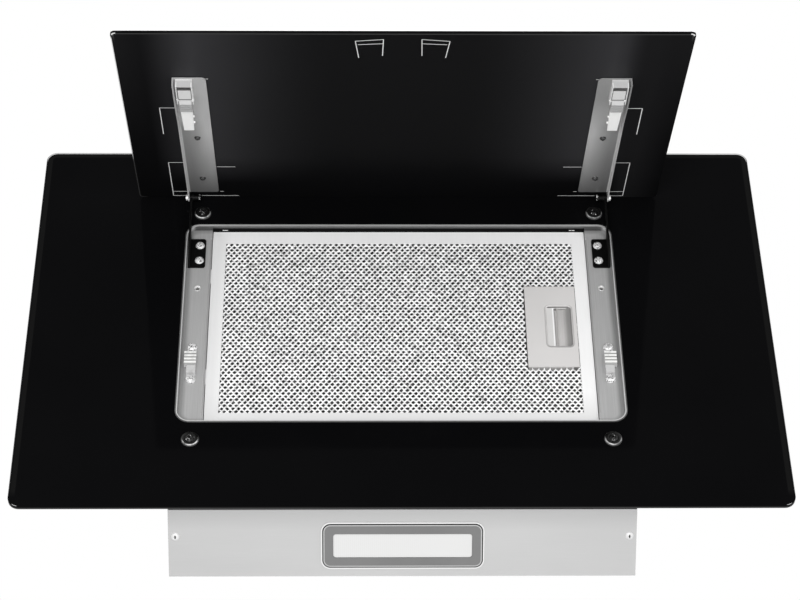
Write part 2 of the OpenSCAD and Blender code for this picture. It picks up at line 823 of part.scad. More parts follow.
module lamp_diffuser() {
    color([0.96, 0.96, 0.95]) translate([0, lamp_y, plate_z]) {
        translate([0, 0, -0.9]) rounded_plate(diffuser_w - 0.4, diffuser_d - 0.4, diffuser_seat + 1.2, 2.8);
        translate([0, 0, diffuser_seat])
            rounded_plate(diffuser_w + 2 * diffuser_rim - 0.4, diffuser_d + 2 * diffuser_rim - 0.4, 1.2, 3.8);
    }
}

module led_board() {
    board_h = 1.6;
    color([0.9, 0.9, 0.88]) translate([0, lamp_y, floor_z + lamp_h - sheet - board_h]) {
        slab(0, 0, 0, diffuser_w - 6, diffuser_d - 4, board_h);
        for (i = [-5:5]) slab(i * (diffuser_w - 20) / 10, 0, -0.8, 3, 3, 0.8);
    }
}

module lamp_housing() {
    color([0.7, 0.7, 0.7]) translate([0, lamp_y, floor_z]) difference() {
        slab(0, 0, 0, bezel_w - 3, bezel_d - 3, lamp_h);
        slab(0, 0, -cut, bezel_w - 3 - 2 * sheet, bezel_d - 3 - 2 * sheet, lamp_h - sheet + cut);
    }
}

module led_driver() {
    color([0.85, 0.85, 0.85]) translate([driver_x, 0, floor_z]) {
        slab(0, box_y, 0, driver_w, driver_l, driver_h);
        for (x = [-1, 1])
            slab(x * (driver_w + driver_tab) / 2, box_y, 0, driver_tab, driver_l / 2, 2);
    }
}

module touch_board() {
    foot_x = board_w / 2 - board_foot_w / 2 - 4;
    color([0.1, 0.25, 0.12]) on_slope() {
        slab(0, board_v, -glass_t - board_t, board_w, board_l, board_t);
        for (x = [-1, 1])
            slab(x * foot_x, board_v, front_h, board_foot_w, board_l, pad_t - board_t);
    }
}

module terminal_box() {
    wall = 2;
    color([0.15, 0.15, 0.15]) difference() {
        slab(box_x, box_y, floor_z, box_w, box_d, box_h);
        slab(box_x, box_y, floor_z + wall, box_w - 2 * wall, box_d - 2 * wall, box_h);
        translate([box_x, box_y, gland_z]) rotate([-90, 0, 0]) cylinder(r = gland_r, h = box_d);
    }
}

module terminal_lid() {
    color([0.2, 0.2, 0.2]) {
        slab(box_x, box_y, floor_z + box_h, box_w, box_d, 2);
        slab(box_x, box_y, floor_z + box_h - 2, box_w - 4.4, box_d - 4.4, 2);
    }
}

module capacitor() {
    color("white") translate([box_x + 15, box_y, floor_z + box_h + 2]) {
        cylinder(r = cap_r, h = cap_h);
        translate([0, 0, cap_h]) cylinder(r = 5, h = 3);
    }
}

module cable_gland() {
    inner_y = box_y + box_d / 2;
    color([0.2, 0.2, 0.2]) translate([box_x, 0, gland_z]) rotate([90, 0, 0]) difference() {
        union() {
            cylinder(r = gland_r, h = -inner_y + 8);
            translate([0, 0, sheet]) cylinder(r = gland_r + 3, h = -inner_y - sheet);
            translate([0, 0, -inner_y + 2]) cylinder(r = gland_r + 3, h = 4, $fn = 6);
        }
        translate([0, 0, -cut]) cylinder(r = gland_bore_r, h = -inner_y + 8 + 2 * cut);
    }
}

// Blower
function scroll_point(i, steps, wall) =
    let (share = i / steps, a = scroll_start - scroll_sweep * share)
    let (r = scroll_r + scroll_growth * share - wall)
    [blower_y + r * cos(a), blower_z + r * sin(a)];

function scroll_outline(wall, end_z) =
    let (steps = scroll_sweep / scroll_step)
    concat(
        [for (i = [0:steps]) scroll_point(i, steps, wall)],
        [[exit_low_y + wall, end_z], [exit_high_y - wall, end_z]]
    );

module blower_casing(side) {
    color([0.22, 0.23, 0.24]) on_side(side) difference() {
        union() {
            along_x(0, blower_half, scroll_outline(0, ceiling_z));
            translate([0, blower_y, blower_z]) bar(blower_half, bell_h, inlet_r + 4);
            translate([blower_half - cut, exit_low_y, ceiling_z - 2])
                cube([blower_flange + cut, exit_high_y - exit_low_y, 2]);
        }
        along_x(-cut, blower_half - blower_wall + cut, scroll_outline(blower_wall, ceiling_z + cut));
        translate([0, blower_y, blower_z]) bar(blower_half - blower_wall - cut, bell_h + 4, inlet_r);
        blower_screw_places() translate([0, 0, -3]) cylinder(r = 1.8, h = 4);
    }
}

module impeller() {
    blade_w = 11.5;
    blade_mid_r = impeller_r - 7;
    blade_turn = 32;
    blade_l = impeller_l - ring_t;
    color([0.3, 0.3, 0.32]) translate([0, blower_y, blower_z]) {
        for (i = [0:blade_count - 1]) rotate([i * 360 / blade_count, 0, 0])
            translate([-blade_l / 2, blade_mid_r, 0]) rotate([blade_turn, 0, 0])
                translate([0, -blade_w / 2, -blade_t / 2]) cube([blade_l, blade_w, blade_t]);
        for (x = [-impeller_l / 2, impeller_l / 2 - ring_t])
            tube(x, ring_t, impeller_r, impeller_r - 6);
        tube(disc_x, 2, impeller_r - 5, shaft_r);
        tube(disc_x - 8, 20, hub_r, shaft_r);
    }
}

module motor_shaft() {
    color([0.8, 0.8, 0.8]) translate([0, blower_y, blower_z])
        bar(disc_x - 10, motor_x + motor_l - 10 - disc_x + 10, shaft_r);
}

module motor_body() {
    color([0.35, 0.35, 0.36]) translate([0, blower_y, blower_z]) difference() {
        union() {
            bar(motor_x, motor_l, motor_r);
            bar(motor_x - motor_neck_l, motor_neck_l, motor_neck_r);
        }
        bar(motor_x - motor_neck_l - cut, motor_l - 4, shaft_r + pin_clear);
    }
}

module motor_bracket() {
    ring_x = motor_x + 2;
    ring_wall = 3;
    foot_r = inlet_r + motor_foot_out;
    arm_start = motor_r + ring_wall - 0.5;
    color([0.7, 0.7, 0.7]) translate([0, blower_y, blower_z]) {
        tube(ring_x, 5, motor_r + ring_wall, motor_r);
        for (a = [90, 210, 330]) rotate([a, 0, 0]) {
            translate([ring_x, arm_start, -5]) cube([3, foot_r - arm_start, 10]);
            translate([blower_half, foot_r - 3, -5]) cube([ring_x - blower_half + 3, 3, 10]);
            translate([blower_half, foot_r - 3, -5]) cube([2, 8, 10]);
        }
    }
}

module outlet_collar() {
    stop_z = flap_z - flap_knuckle_r;
    color([0.25, 0.25, 0.25]) translate([0, collar_y, 0]) difference() {
        union() {
            translate([0, 0, top_z]) cylinder(r = collar_r, h = collar_h, $fn = 96);
            translate([0, 0, top_z]) cylinder(r = collar_flange_r, h = collar_flange_t, $fn = 96);
        }
        translate([0, 0, top_z - cut]) cylinder(r = collar_in_r - 4, h = collar_h + 2 * cut, $fn = 96);
        translate([0, 0, stop_z - 0.1]) cylinder(r = collar_in_r, h = collar_h, $fn = 96);
        translate([0, 0, top_z - cut])
            cylinder(r = collar_in_r, h = stop_z - 2 - top_z + cut, $fn = 96);
        translate([0, -collar_y, 0]) collar_screw_places()
            translate([0, 0, top_z - cut]) cylinder(r = 1.8, h = collar_flange_t + 2 * cut);
        translate([0, 0, flap_z]) bar(-collar_r - cut, 2 * collar_r + 2 * cut, flap_pin_r);
    }
}

module flap_pins() {
    pin_l = 2 * collar_r - 2 * fit;
    color([0.8, 0.8, 0.8]) translate([0, collar_y, flap_z]) bar(-pin_l / 2, pin_l, flap_pin_r);
}

// One half of the non-return flap. The knuckles of the two halves take turns along the pin.
module flap(side) {
    low = -flap_knuckle_r;
    edge = 0.4;
    root_l = 4;
    color([0.3, 0.3, 0.3]) translate([0, collar_y, flap_z]) {
        difference() {
            translate([0, 0, low]) cylinder(r = flap_r, h = flap_t, $fn = 96);
            translate([-flap_r - cut, side < 0 ? -edge : edge - 2 * flap_r, low - cut])
                cube([2 * flap_r + 2 * cut, 2 * flap_r, flap_t + 2 * cut]);
            for (x = knuckle_places(-side))
                translate([x - knuckle_gap, -flap_knuckle_r - knuckle_gap, low - cut])
                    cube([knuckle_l + 2 * knuckle_gap, 2 * flap_knuckle_r + 2 * knuckle_gap, flap_t + 3]);
        }
        for (x = knuckle_places(side)) difference() {
            union() {
                bar(x, knuckle_l, flap_knuckle_r);
                translate([x, side < 0 ? -root_l : 0, low]) cube([knuckle_l, root_l, flap_t]);
            }
            bar(x - cut, knuckle_l + 2 * cut, flap_pin_r + pin_clear);
        }
    }
}

module inner_screws() {
    color([0.8, 0.8, 0.8]) {
        collar_screw_places() translate([0, 0, top_z + collar_flange_t])
            pan_screw(3.4, 2, 1.8, collar_flange_t + sheet + 4, 2);
        blower_screw_places() translate([0, 0, sheet]) pan_screw(3.4, 2, 1.8, sheet + 5, 2);
    }
}

// Front panel, drawn closed and swung open
module front_glass() {
    color([0.05, 0.05, 0.055]) swung_open()
        translate([0, hinge_edge_v - panel_l / 2, panel_gap])
            rounded_plate(panel_w, panel_l, panel_t, panel_r);
}

// One end of the bracket plate, with its inner corner rounded
module bracket_end(end_v, corner, inward) {
    slab(bracket_x - (bracket_w - corner) / 2, end_v + inward * corner / 2,
        bracket_face_h, bracket_w - corner, corner, bracket_t);
    translate([bracket_x - bracket_w + corner, end_v + inward * corner, bracket_face_h])
        cylinder(r = corner, h = bracket_t);
}

module panel_bracket(side) {
    low_h = bracket_h - flange_low;
    deep_h = bracket_h - flange_deep;
    color([0.6, 0.6, 0.6]) swung_open() on_side(side) difference() {
        union() {
            full_l = bracket_l - bracket_corner - bracket_end_corner;
            slab(bracket_x - bracket_w / 2, bracket_low_v + bracket_corner + full_l / 2,
                bracket_face_h, bracket_w, full_l, bracket_t);
            bracket_end(bracket_low_v, bracket_corner, 1);
            bracket_end(bracket_top_v, bracket_end_corner, -1);
            across(bracket_x - bracket_t, bracket_t, [
                [bracket_low_v, bracket_h],
                [bracket_low_v, deep_h],
                [bracket_low_v + flange_step, deep_h],
                [bracket_low_v + flange_step + flange_slope, low_h],
                [pin_v - 20, low_h],
                [pin_v - 6, pin_h - 3],
                [pin_v, pin_h - 3],
                [pin_v, bracket_h - 1],
                [pin_v - 4, bracket_h]
            ]);
            translate([0, pin_v, pin_h]) bar(bracket_x - bracket_t, bracket_t, ear_r);
        }
        translate([0, pin_v, pin_h]) bar(bracket_x - bracket_t - cut, bracket_t + 2 * cut, pin_r + pin_clear);
        bracket_screw_places() translate([0, 0, -cut]) cylinder(r = bracket_shank_r, h = 5);
    }
}

module bracket_pads() {
    color([0.08, 0.08, 0.08]) swung_open() both_sides() difference() {
        slab(bracket_x - bracket_w / 2, (bracket_top_v + bracket_low_v) / 2, bracket_h,
            bracket_w - 4, bracket_l - 14, bond_t);
        bracket_screw_places() translate([0, 0, -cut]) cylinder(r = bracket_shank_r, h = 6);
    }
}

module bracket_screws() {
    color([0.3, 0.3, 0.3]) swung_open() both_sides() bracket_screw_places() mirror([0, 0, 1])
        pan_screw(bracket_head_r, bracket_head_t, bracket_shank_r, bracket_t + bond_t, 2.2);
}

// Catches
module catch_housing(side) {
    wall_l = catch_l + 9;
    color([0.75, 0.75, 0.75]) swung_open() on_side(side) difference() {
        union() {
            slab(catch_x, catch_end_v + catch_l / 2, catch_face_h - catch_floor_t,
                catch_w, catch_l, catch_floor_t);
            slab(catch_x, catch_end_v + catch_wall / 2, catch_deep_h,
                catch_w, catch_wall, catch_face_h - catch_deep_h);
            for (x = [-1, 1])
                slab(catch_x + x * (catch_w - catch_wall) / 2, catch_end_v + wall_l / 2, catch_deep_h,
                    catch_wall, wall_l, catch_face_h - catch_deep_h);
        }
        translate([0, catch_pin_v, catch_pin_h]) bar(catch_x - catch_w, 2 * catch_w, catch_pin_r);
    }
}

module catch_pins() {
    color([0.8, 0.8, 0.8]) swung_open() both_sides() translate([0, catch_pin_v, catch_pin_h])
        bar(catch_x - catch_w / 2 - 0.6, catch_w + 1.2, catch_pin_r);
}

module catch_springs() {
    color([0.6, 0.6, 0.6]) swung_open() both_sides() translate([0, catch_pin_v, catch_pin_h])
        for (x = [-1, 1])
            tube(catch_x + x * (lever_w / 2 + 0.7) - spring_w / 2, spring_w, catch_pin_r + 0.9, catch_pin_r);
}

module catch_lever(side) {
    root_low_v = catch_pin_v + 1;
    root_high_v = catch_pin_v + lever_root_l;
    tip_v = root_high_v + tongue_l;
    neck_v = catch_pin_v - 3.4; // the wide plate ends here, beside the springs
    back_t = 2;
    groove = 1.4;
    groove_pitch = 3.6;
    color("white") swung_open() on_side(side) difference() {
        union() {
            intersection() {
                across(catch_x - lever_w / 2, lever_w, [
                    [catch_pin_v - 2, catch_pin_h - 2.4],
                    [root_low_v, nose_h],
                    [root_high_v, nose_h],
                    [root_high_v, catch_pin_h - 2.4],
                    [tip_v - 2, catch_pin_h - 2.4],
                    [tip_v, catch_pin_h - 1.2],
                    [tip_v, catch_pin_h + 0.4],
                    [root_high_v, catch_pin_h + 0.9],
                    [root_low_v, catch_pin_h + 2.6],
                    [catch_pin_v - 2, catch_pin_h + 2.4]
                ]);
                translate([catch_x, 0, nose_h - cut]) linear_extrude(2 * catch_pin_h) polygon([
                    [-lever_w / 2 - cut, catch_pin_v - 3],
                    [lever_w / 2 + cut, catch_pin_v - 3],
                    [lever_w / 2 + cut, root_high_v],
                    [lever_w / 2, root_high_v],
                    [lever_tip_w / 2, tip_v + cut],
                    [-lever_tip_w / 2, tip_v + cut],
                    [-lever_w / 2, root_high_v],
                    [-lever_w / 2 - cut, root_high_v]
                ]);
            }
            slab(catch_x, (lever_back_v + neck_v) / 2, catch_pin_h - back_t,
                lever_back_w, neck_v - lever_back_v, back_t);
            slab(catch_x, (neck_v + catch_pin_v) / 2, catch_pin_h - back_t,
                lever_w, catch_pin_v - neck_v, back_t);
            translate([0, catch_pin_v, catch_pin_h]) bar(catch_x - lever_w / 2, lever_w, 3);
            for (y = [16.5, 29])
                slab(catch_x - lever_w / 2 + 0.6, root_high_v + y, catch_pin_h - 1.8, 3.2, 1.8, 1.8);
        }
        translate([0, catch_pin_v, catch_pin_h])
            bar(catch_x - lever_w, 2 * lever_w, catch_pin_r + pin_clear);
        for (i = [0:3])
            slab(catch_x, root_low_v + 2.6 + i * groove_pitch, nose_h - cut,
                lever_w + 2, groove, cut + 1.4);
    }
}

// Grease filter
module filter_frame() {
    cavity_w = window_w + 2 * mesh_bite;
    cavity_l = window_l + 2 * mesh_bite;
    color([0.9, 0.9, 0.9]) on_slope() difference() {
        union() {
            slab(0, tray_v, filter_back_h, filter_w, filter_l, filter_t);
            for (y = [-1, 1])
                slab(-filter_w / 2 - tab_l / 2 + 0.5, tray_v + y * tab_spread / 2,
                    filter_h - tab_t - 0.2, tab_l + 1, tab_w, tab_t);
        }
        slab(0, tray_v, filter_back_h - cut, window_w, window_l, filter_t + 2 * cut);
        slab(0, tray_v, filter_back_h + lip_t, cavity_w, cavity_l, filter_t - 2 * lip_t);
        slab(filter_w / 2 - rail_w / 2, handle_v, slider_h - slot_gap,
            rail_w + 2 * cut, bolt_w + 2 * slot_gap, slider_t + 2 * slot_gap);
    }
}

// Front layer of expanded metal, shown coarser than the real one
module filter_mesh() {
    columns = 17;
    rows = 14;
    pitch_x = window_w / columns;
    pitch_v = window_l / rows;
    eye_x = pitch_x * 0.36;
    eye_v = pitch_v * 0.3;
    color([0.8, 0.8, 0.8]) on_slope() translate([0, tray_v, filter_h - lip_t - mesh_t]) difference() {
        slab(0, 0, 0, window_w + 2 * mesh_bite - 0.4, window_l + 2 * mesh_bite - 0.4, mesh_t);
        slab(handle_x, handle_v - tray_v, -cut,
            handle_w - 2 * handle_lip, handle_l - 2 * handle_lip, 3 * cut);
        linear_extrude(3 * cut, center = true)
            for (row = [0:rows - 1], column = [0:columns - 1]) {
                x = (column + 0.5 + (row % 2) * 0.5 - columns / 2 - 0.25) * pitch_x;
                y = (row + 0.5 - rows / 2) * pitch_v;
                clear_of_handle = x < handle_x - handle_w / 2 - eye_x - 1
                    || abs(y - handle_v + tray_v) > handle_l / 2 + eye_v + 1;
                if (clear_of_handle)
                    translate([x, y]) polygon([[-eye_x, 0], [0, -eye_v], [eye_x, 0], [0, eye_v]]);
            }
    }
}

// One folded inner layer on a plain back layer
module filter_core() {
    core_w = window_w + 2 * mesh_bite - 0.4;
    core_l = window_l + 2 * mesh_bite - 0.4;
    core_t = filter_t - 2 * lip_t - mesh_t - 0.1;
    foil = 0.4;
    bond = 0.1;
    folds = 32;
    pitch = core_w / folds;
    low = foil - bond;
    top = [for (i = [0:2 * folds]) [(i - folds) / 2 * pitch, i % 2 == 0 ? low + foil : core_t]];
    under = [for (i = [2 * folds:-1:0]) [(i - folds) / 2 * pitch, i % 2 == 0 ? low : core_t - foil]];
    color([0.7, 0.7, 0.7]) on_slope() translate([0, tray_v, filter_back_h + lip_t]) difference() {
        union() {
            slab(0, 0, 0, core_w, core_l, foil);
            translate([0, core_l / 2, 0]) rotate([90, 0, 0])
                linear_extrude(core_l) polygon(concat(top, under));
        }
        slab(handle_x, handle_v - tray_v, -cut,
            handle_w - 2 * handle_lip, handle_l - 2 * handle_lip, core_t + 2 * cut);
        slab(handle_x + handle_w / 2 + 5, handle_v - tray_v, -cut,
            14, bolt_w + 2, core_t + 2 * cut);
    }
}

module filter_handle() {
    skin_h = filter_h - lip_t;
    left_x = handle_x - handle_w / 2 + handle_lip;
    right_x = handle_x + handle_w / 2 - handle_lip;
    color([0.81, 0.8, 0.8]) on_slope() difference() {
        union() {
            slab(handle_x, handle_v, skin_h, handle_w, handle_l, handle_h - skin_h);
            slab(handle_x, handle_v, handle_back_h,
                handle_w - 2 * handle_lip, handle_l - 2 * handle_lip, skin_h - handle_back_h);
        }
        translate([recess_x, handle_v, recess_floor_h])
            rounded_plate(recess_w, recess_l, handle_h - recess_floor_h + cut, recess_r);
        slab((slot_x + right_x + cut) / 2, handle_v, slider_h - slot_gap,
            right_x - slot_x + cut, slider_l + 2 * slot_gap, slider_t + 2 * slot_gap);
        slab(recess_x - recess_w / 2 - latch_travel / 2 + flap_w / 4, handle_v, slider_h,
            latch_travel + flap_w / 2 + 1, recess_l - 1, skin_h - slider_h - 0.1);
    }
}

module latch_slider() {
    left_x = recess_x - recess_w / 2 + fit;
    right_x = handle_x + handle_w / 2 - handle_lip - latch_reach - fit;
    window_x = left_x + flap_w;
    leg_x = right_x - 1.8;
    tip_x = well_x - 0.25;
    flap_top_h = filter_h - lip_t - 0.3;
    color([0.88, 0.88, 0.87]) on_slope() {
        difference() {
            slab((left_x + right_x) / 2, handle_v, slider_h, right_x - left_x, slider_l, slider_t);
            slab((window_x + leg_x) / 2, handle_v, slider_h - cut,
                leg_x - window_x, recess_l, slider_t + 2 * cut);
        }
        slab(left_x + flap_w / 2, handle_v, slider_h, flap_w, recess_l - 2, flap_top_h - slider_h);
        slab((leg_x + tip_x) / 2, handle_v, slider_h, tip_x - leg_x, bolt_w, slider_t);
    }
}

module latch_spring() {
    right_x = recess_x - recess_w / 2 + fit;
    color([0.6, 0.6, 0.6]) on_slope()
        for (y = [-1, 1])
            translate([0, handle_v + y * recess_l / 4, slider_h + slider_t / 2])
                tube(slot_x, right_x - slot_x, latch_spring_r, latch_spring_r / 2);
}

side_panel(-1);  // side_panel_left
side_panel(1);  // side_panel_right
top_panel();
back_panel();
front_plate();
bottom_plate();
bottom_screws();
main_glass();
glass_pads();
glass_washers();
glass_screws();
filter_tray();
tray_rivets();
hinge_arm(-1);  // hinge_arm_left
hinge_arm(1);  // hinge_arm_right
hinge_arm_screws();
hinge_pins();
hinge_washers();
strike(-1);  // strike_left
strike(1);  // strike_right
strike_screws();
lamp_bezel();
lamp_diffuser();
led_board();
lamp_housing();
led_driver();
touch_board();
terminal_box();
terminal_lid();
capacitor();
cable_gland();
blower_casing(-1);  // blower_casing_left
blower_casing(1);  // blower_casing_right
motor_body();
motor_bracket();
motor_shaft();
impeller();
outlet_collar();
flap_pins();
flap(-1);  // flap_front
flap(1);  // flap_rear
inner_screws();
front_glass();
panel_bracket(-1);  // panel_bracket_left
panel_bracket(1);  // panel_bracket_right
bracket_pads();
bracket_screws();
catch_housing(-1);  // catch_housing_left
catch_housing(1);  // catch_housing_right
catch_pins();
catch_springs();
catch_lever(-1);  // catch_lever_left
catch_lever(1);  // catch_lever_right
filter_frame();
filter_mesh();
filter_core();
filter_handle();
latch_slider();
latch_spring();
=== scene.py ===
"""Looks of an inclined wall range hood whose front panel stands open, seen from below."""

import math
import random

import bmesh
import bpy
from mathutils import Matrix, Vector


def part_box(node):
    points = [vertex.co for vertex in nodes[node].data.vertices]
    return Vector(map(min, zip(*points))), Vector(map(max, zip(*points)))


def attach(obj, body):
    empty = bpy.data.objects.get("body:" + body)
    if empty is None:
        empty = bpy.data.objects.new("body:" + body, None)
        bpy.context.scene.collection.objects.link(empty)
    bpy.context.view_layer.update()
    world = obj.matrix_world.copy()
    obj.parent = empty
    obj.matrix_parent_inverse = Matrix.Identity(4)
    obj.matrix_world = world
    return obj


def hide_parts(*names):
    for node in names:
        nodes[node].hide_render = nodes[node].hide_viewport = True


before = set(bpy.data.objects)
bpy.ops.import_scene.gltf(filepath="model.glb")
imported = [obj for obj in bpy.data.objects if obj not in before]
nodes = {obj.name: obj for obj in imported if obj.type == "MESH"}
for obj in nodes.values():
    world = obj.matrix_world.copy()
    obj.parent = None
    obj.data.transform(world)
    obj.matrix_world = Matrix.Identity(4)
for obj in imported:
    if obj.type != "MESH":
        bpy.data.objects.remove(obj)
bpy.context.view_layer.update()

# Sizes of the hood in millimetres, as its drawing has them. W, L, R and T are a width, a length,
# a corner's radius and a thickness. X lies across the hood, V up the slope and H out of the glass.
# FOOT is the lower edge of the main glass, where V and H are 0.
TILT = math.radians(55)
FOOT_Y, FOOT_Z = -76.0, -191.5
GLASS_W, GLASS_L, GLASS_R, GLASS_T = 800.0, 492.0, 12.0, 4.0
PANEL_W, PANEL_L, PANEL_R = 581.0, 357.0, 5.5
PLATE_SCREW_X, BEZEL_R = 230.8, 9.7

# The open front panel: its gap to the main glass when shut, the hinge pins and the hinged edge.
PANEL_GAP = 15.4
PANEL_OPEN = math.radians(74.5)
PIN_V, PIN_H = 414.5, 9.4
PANEL_EDGE_V = 424.5

# How far out lie the hinge arms' outer faces, the brackets' two sides and the catches' middles.
HINGE_ARM_OUT = 232.5
BRACKET_IN, BRACKET_OUT = 201.0, 235.5
CATCH_X = 223.5

# Half widths of a catch and its lever. Places along the lever start at the panel's hinged edge.
CATCH_HALF, LEVER_HALF = 8.5, 7.15
NOSE_START, LEVER_PLATE, LEVER_END = 219.5, 240.0, 259.0
GROOVE_PITCH = 3.6

# The tray round its middle, its rim and sheet, the half width of its well, and its upper wall.
TRAY_V, TRAY_W, TRAY_L, TRAY_R = 244.1, 473.5, 275.5, 16.0
RIM_W, TRAY_T, WELL_X = 2.4, 1.2, 207.45
UPPER_WALL_V = TRAY_V + TRAY_L / 2 - RIM_W

# The filter's window, its handle and the recess in the handle.
WINDOW_W, WINDOW_L = 383.9, 237.0
HANDLE_X, HANDLE_V, HANDLE_W, HANDLE_L = 163.85, 242.9, 55.0, 112.0
RECESS_X, RECESS_W, RECESS_L, RECESS_R = 172.25, 27.3, 56.0, 4.0

# The four glass screws lie SCREW_X to each side, and SCREW_SPREAD above and below SCREW_V.
SCREW_X, SCREW_V, SCREW_SPREAD = 219.0, 241.8, 157.25
WASHER_R = 9.4

# Expanded metal: the openings of a layer across and up the slope, and its strands. KNUCKLE is half
# the length of a joint as a share of an opening. OVERLAP is the share of its own width by which a
# strand stays short of half an opening there, so that strands meet. The UNEVEN values are the most
# that chance moves or turns a joint, in millimetres and radians.
FINE_PITCH, COARSE_PITCH = (6.11, 4.02), (9.0, 5.8)
KNUCKLE, OVERLAP = 0.08, 0.38
STRAND_T, STRAND_RISE = 0.3, 0.1
STRAND_TWIST = math.radians(11)
UNEVEN_X, UNEVEN_TURN, UNEVEN_V, UNEVEN_H = 0.35, 0.5, 0.28, 0.15
MESH_UNDER_FRAME, SHEET_UNDER_FRAME = 3.0, 7.6
HANDLE_LIP = 0.6

# Printed lines on the inner face of the panel, each from one (x, s) to another, s from its hinged edge.
BRACKET_MARKS = (
    ((253, 147.7), (253, 204.6)), ((253, 204.6), (236.5, 204.6)),
    ((252.6, 3.5), (252.6, 82.7)), ((252.6, 82.7), (236.5, 82.7)),
    ((252.6, 13.8), (236.5, 13.8)), ((199.8, 13.8), (196, 13.8)),
    ((252.3, 3.5), (239, 3.5)), ((220.8, 3.5), (179.3, 3.5)),
    ((200.3, 72.7), (180.1, 72.7)), ((206, 265.1), (198.8, 265.1)),
)
MIDDLE_MARKS = (
    ((48, 340.7), (20, 344.1)), ((45.5, 334), (20, 336)),
    ((48, 340.7), (44.6, 308.3)), ((20, 344.1), (20.7, 312.3)),
)
RIGHT_MIDDLE_SHIFT = -1.7
LINE_W = 0.9


# Places
def on_slope(x, v, h):
    """The point at x across, v up the slope and h out of the main glass, all in millimetres."""
    y = FOOT_Y - v * math.cos(TILT) - h * math.sin(TILT)
    z = FOOT_Z + v * math.sin(TILT) - h * math.cos(TILT)
    return Vector((x, y, z)) / 1000


def on_panel(x, s, b):
    """The point at x across, s from the hinged edge and b below the inner face of the open front panel."""
    dv = PANEL_EDGE_V - s - PIN_V
    dh = PANEL_GAP - b - PIN_H
    v = PIN_V + dv * math.cos(PANEL_OPEN) + dh * math.sin(PANEL_OPEN)
    h = PIN_H - dv * math.sin(PANEL_OPEN) + dh * math.cos(PANEL_OPEN)
    return on_slope(x, v, h)


def on_level(x, y, z):
    """The point at x, y and z of the frame, in millimetres."""
    return Vector((x, y, z)) / 1000


def on_upright(x, z, y):
    """The same point with its height given second, for sheets whose lines run up and down."""
    return on_level(x, y, z)


def box_mm(node):
    """The lowest and highest corners of a CAD node at rest, in millimetres."""
    low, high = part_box(node)
    return Vector(low) * 1000, Vector(high) * 1000


def direction(place):
    """The three unit vectors of a place's own axes."""
    start = place(0, 0, 0)
    return [(place(*step) - start).normalized() for step in ((1, 0, 0), (0, 1, 0), (0, 0, 1))]


def rounded_outline(width, length, radius, steps):
    """The corners of a rounded rectangle about its middle, counter-clockwise."""
    points = []
    for turn, (sx, sy) in enumerate(((1, 1), (-1, 1), (-1, -1), (1, -1))):
        for i in range(steps + 1):
            a = math.pi / 2 * (turn + i / steps)
            points.append((sx * (width / 2 - radius) + radius * math.cos(a),
                           sy * (length / 2 - radius) + radius * math.sin(a)))
    return points


# Pieces
def finish_piece(name, source, material, body):
    """A mesh object from a bmesh, riding on its body, with its material and slot."""
    bmesh.ops.recalc_face_normals(source, faces=source.faces)
    mesh = bpy.data.meshes.new(name)
    source.to_mesh(mesh)
    source.free()
    mesh.materials.append(material)
    piece = bpy.data.objects.new(name, mesh)
    bpy.context.scene.collection.objects.link(piece)
    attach(piece, body)
    return piece


def join_rings(source, one, two):
    """Quads between two rings of corners."""
    count = len(one)
    for i in range(count):
        j = (i + 1) % count
        source.faces.new((one[i], one[j], two[j], two[i]))


def loft(source, rings):
    """Joins rings of points with quads and closes the two ends."""
    made = [[source.verts.new(p) for p in ring] for ring in rings]
    for one, two in zip(made, made[1:]):
        join_rings(source, one, two)
    source.faces.new(made[0])
    source.faces.new(list(reversed(made[-1])))


# Shader helpers
def tone(red, green=None, blue=None):
    """A colour from levels of 0 to 255 as a picture shows them. One level alone is a grey."""
    levels = (red, red if green is None else green, red if blue is None else blue)
    linear = []
    for level in levels:
        part = level / 255
        linear.append(part / 12.92 if part <= 0.04045 else ((part + 0.055) / 1.055) ** 2.4)
    return (*linear, 1.0)


def give(tree, made, inputs):
    """Sets the inputs of a node. An input that is a socket is linked."""
    for key, value in inputs.items():
        if isinstance(value, bpy.types.NodeSocket):
            tree.links.new(value, made.inputs[key])
        else:
            made.inputs[key].default_value = value


def put(tree, kind, inputs=None, **settings):
    """A new node with its settings and inputs."""
    made = tree.nodes.new("ShaderNode" + kind)
    for key, value in settings.items():
        setattr(made, key, value)
    give(tree, made, inputs or {})
    return made


def math_node(tree, operation, one, two=0.0):
    """One step of reckoning with one or two values."""
    return put(tree, "Math", {0: one, 1: two}, operation=operation).outputs[0]


def times(tree, *values):
    """The product of the values."""
    total = values[0]
    for value in values[1:]:
        total = math_node(tree, "MULTIPLY", total, value)
    return total


def remap(tree, value, low, high, to_low=0.0, to_high=1.0):
    """A value that goes from one level to another between two limits, and stays there beyond them."""
    return put(tree, "MapRange", {0: value, 1: low, 2: high, 3: to_low, 4: to_high}).outputs[0]


def spread(tree, noise, to_low=0.0, to_high=1.0):
    """A noise, most of which lies between 0.3 and 0.7, stretched over a range."""
    return remap(tree, noise, 0.3, 0.7, to_low, to_high)


def band(tree, value, low, high, soft=0.3):
    """1 where a value lies between two limits, with soft ends, and 0 elsewhere."""
    return times(tree, remap(tree, value, low - soft, low), remap(tree, value, high + soft, high))


def waves(tree, value, rate):
    """A wave from -1 to 1 along a value, at a rate in radians."""
    return math_node(tree, "SINE", times(tree, value, rate))


def blend_colours(tree, share, one, two):
    """One colour where the share is 0, another where it is 1."""
    return put(tree, "Mix", {0: share, 6: one, 7: two}, data_type="RGBA").outputs[2]


def bump(tree, height, distance, strength=1.0):
    """A normal that shows a height from 0 to 1 as a relief of a distance in metres."""
    return put(tree, "Bump", {"Height": height, "Distance": distance, "Strength": strength}).outputs[0]


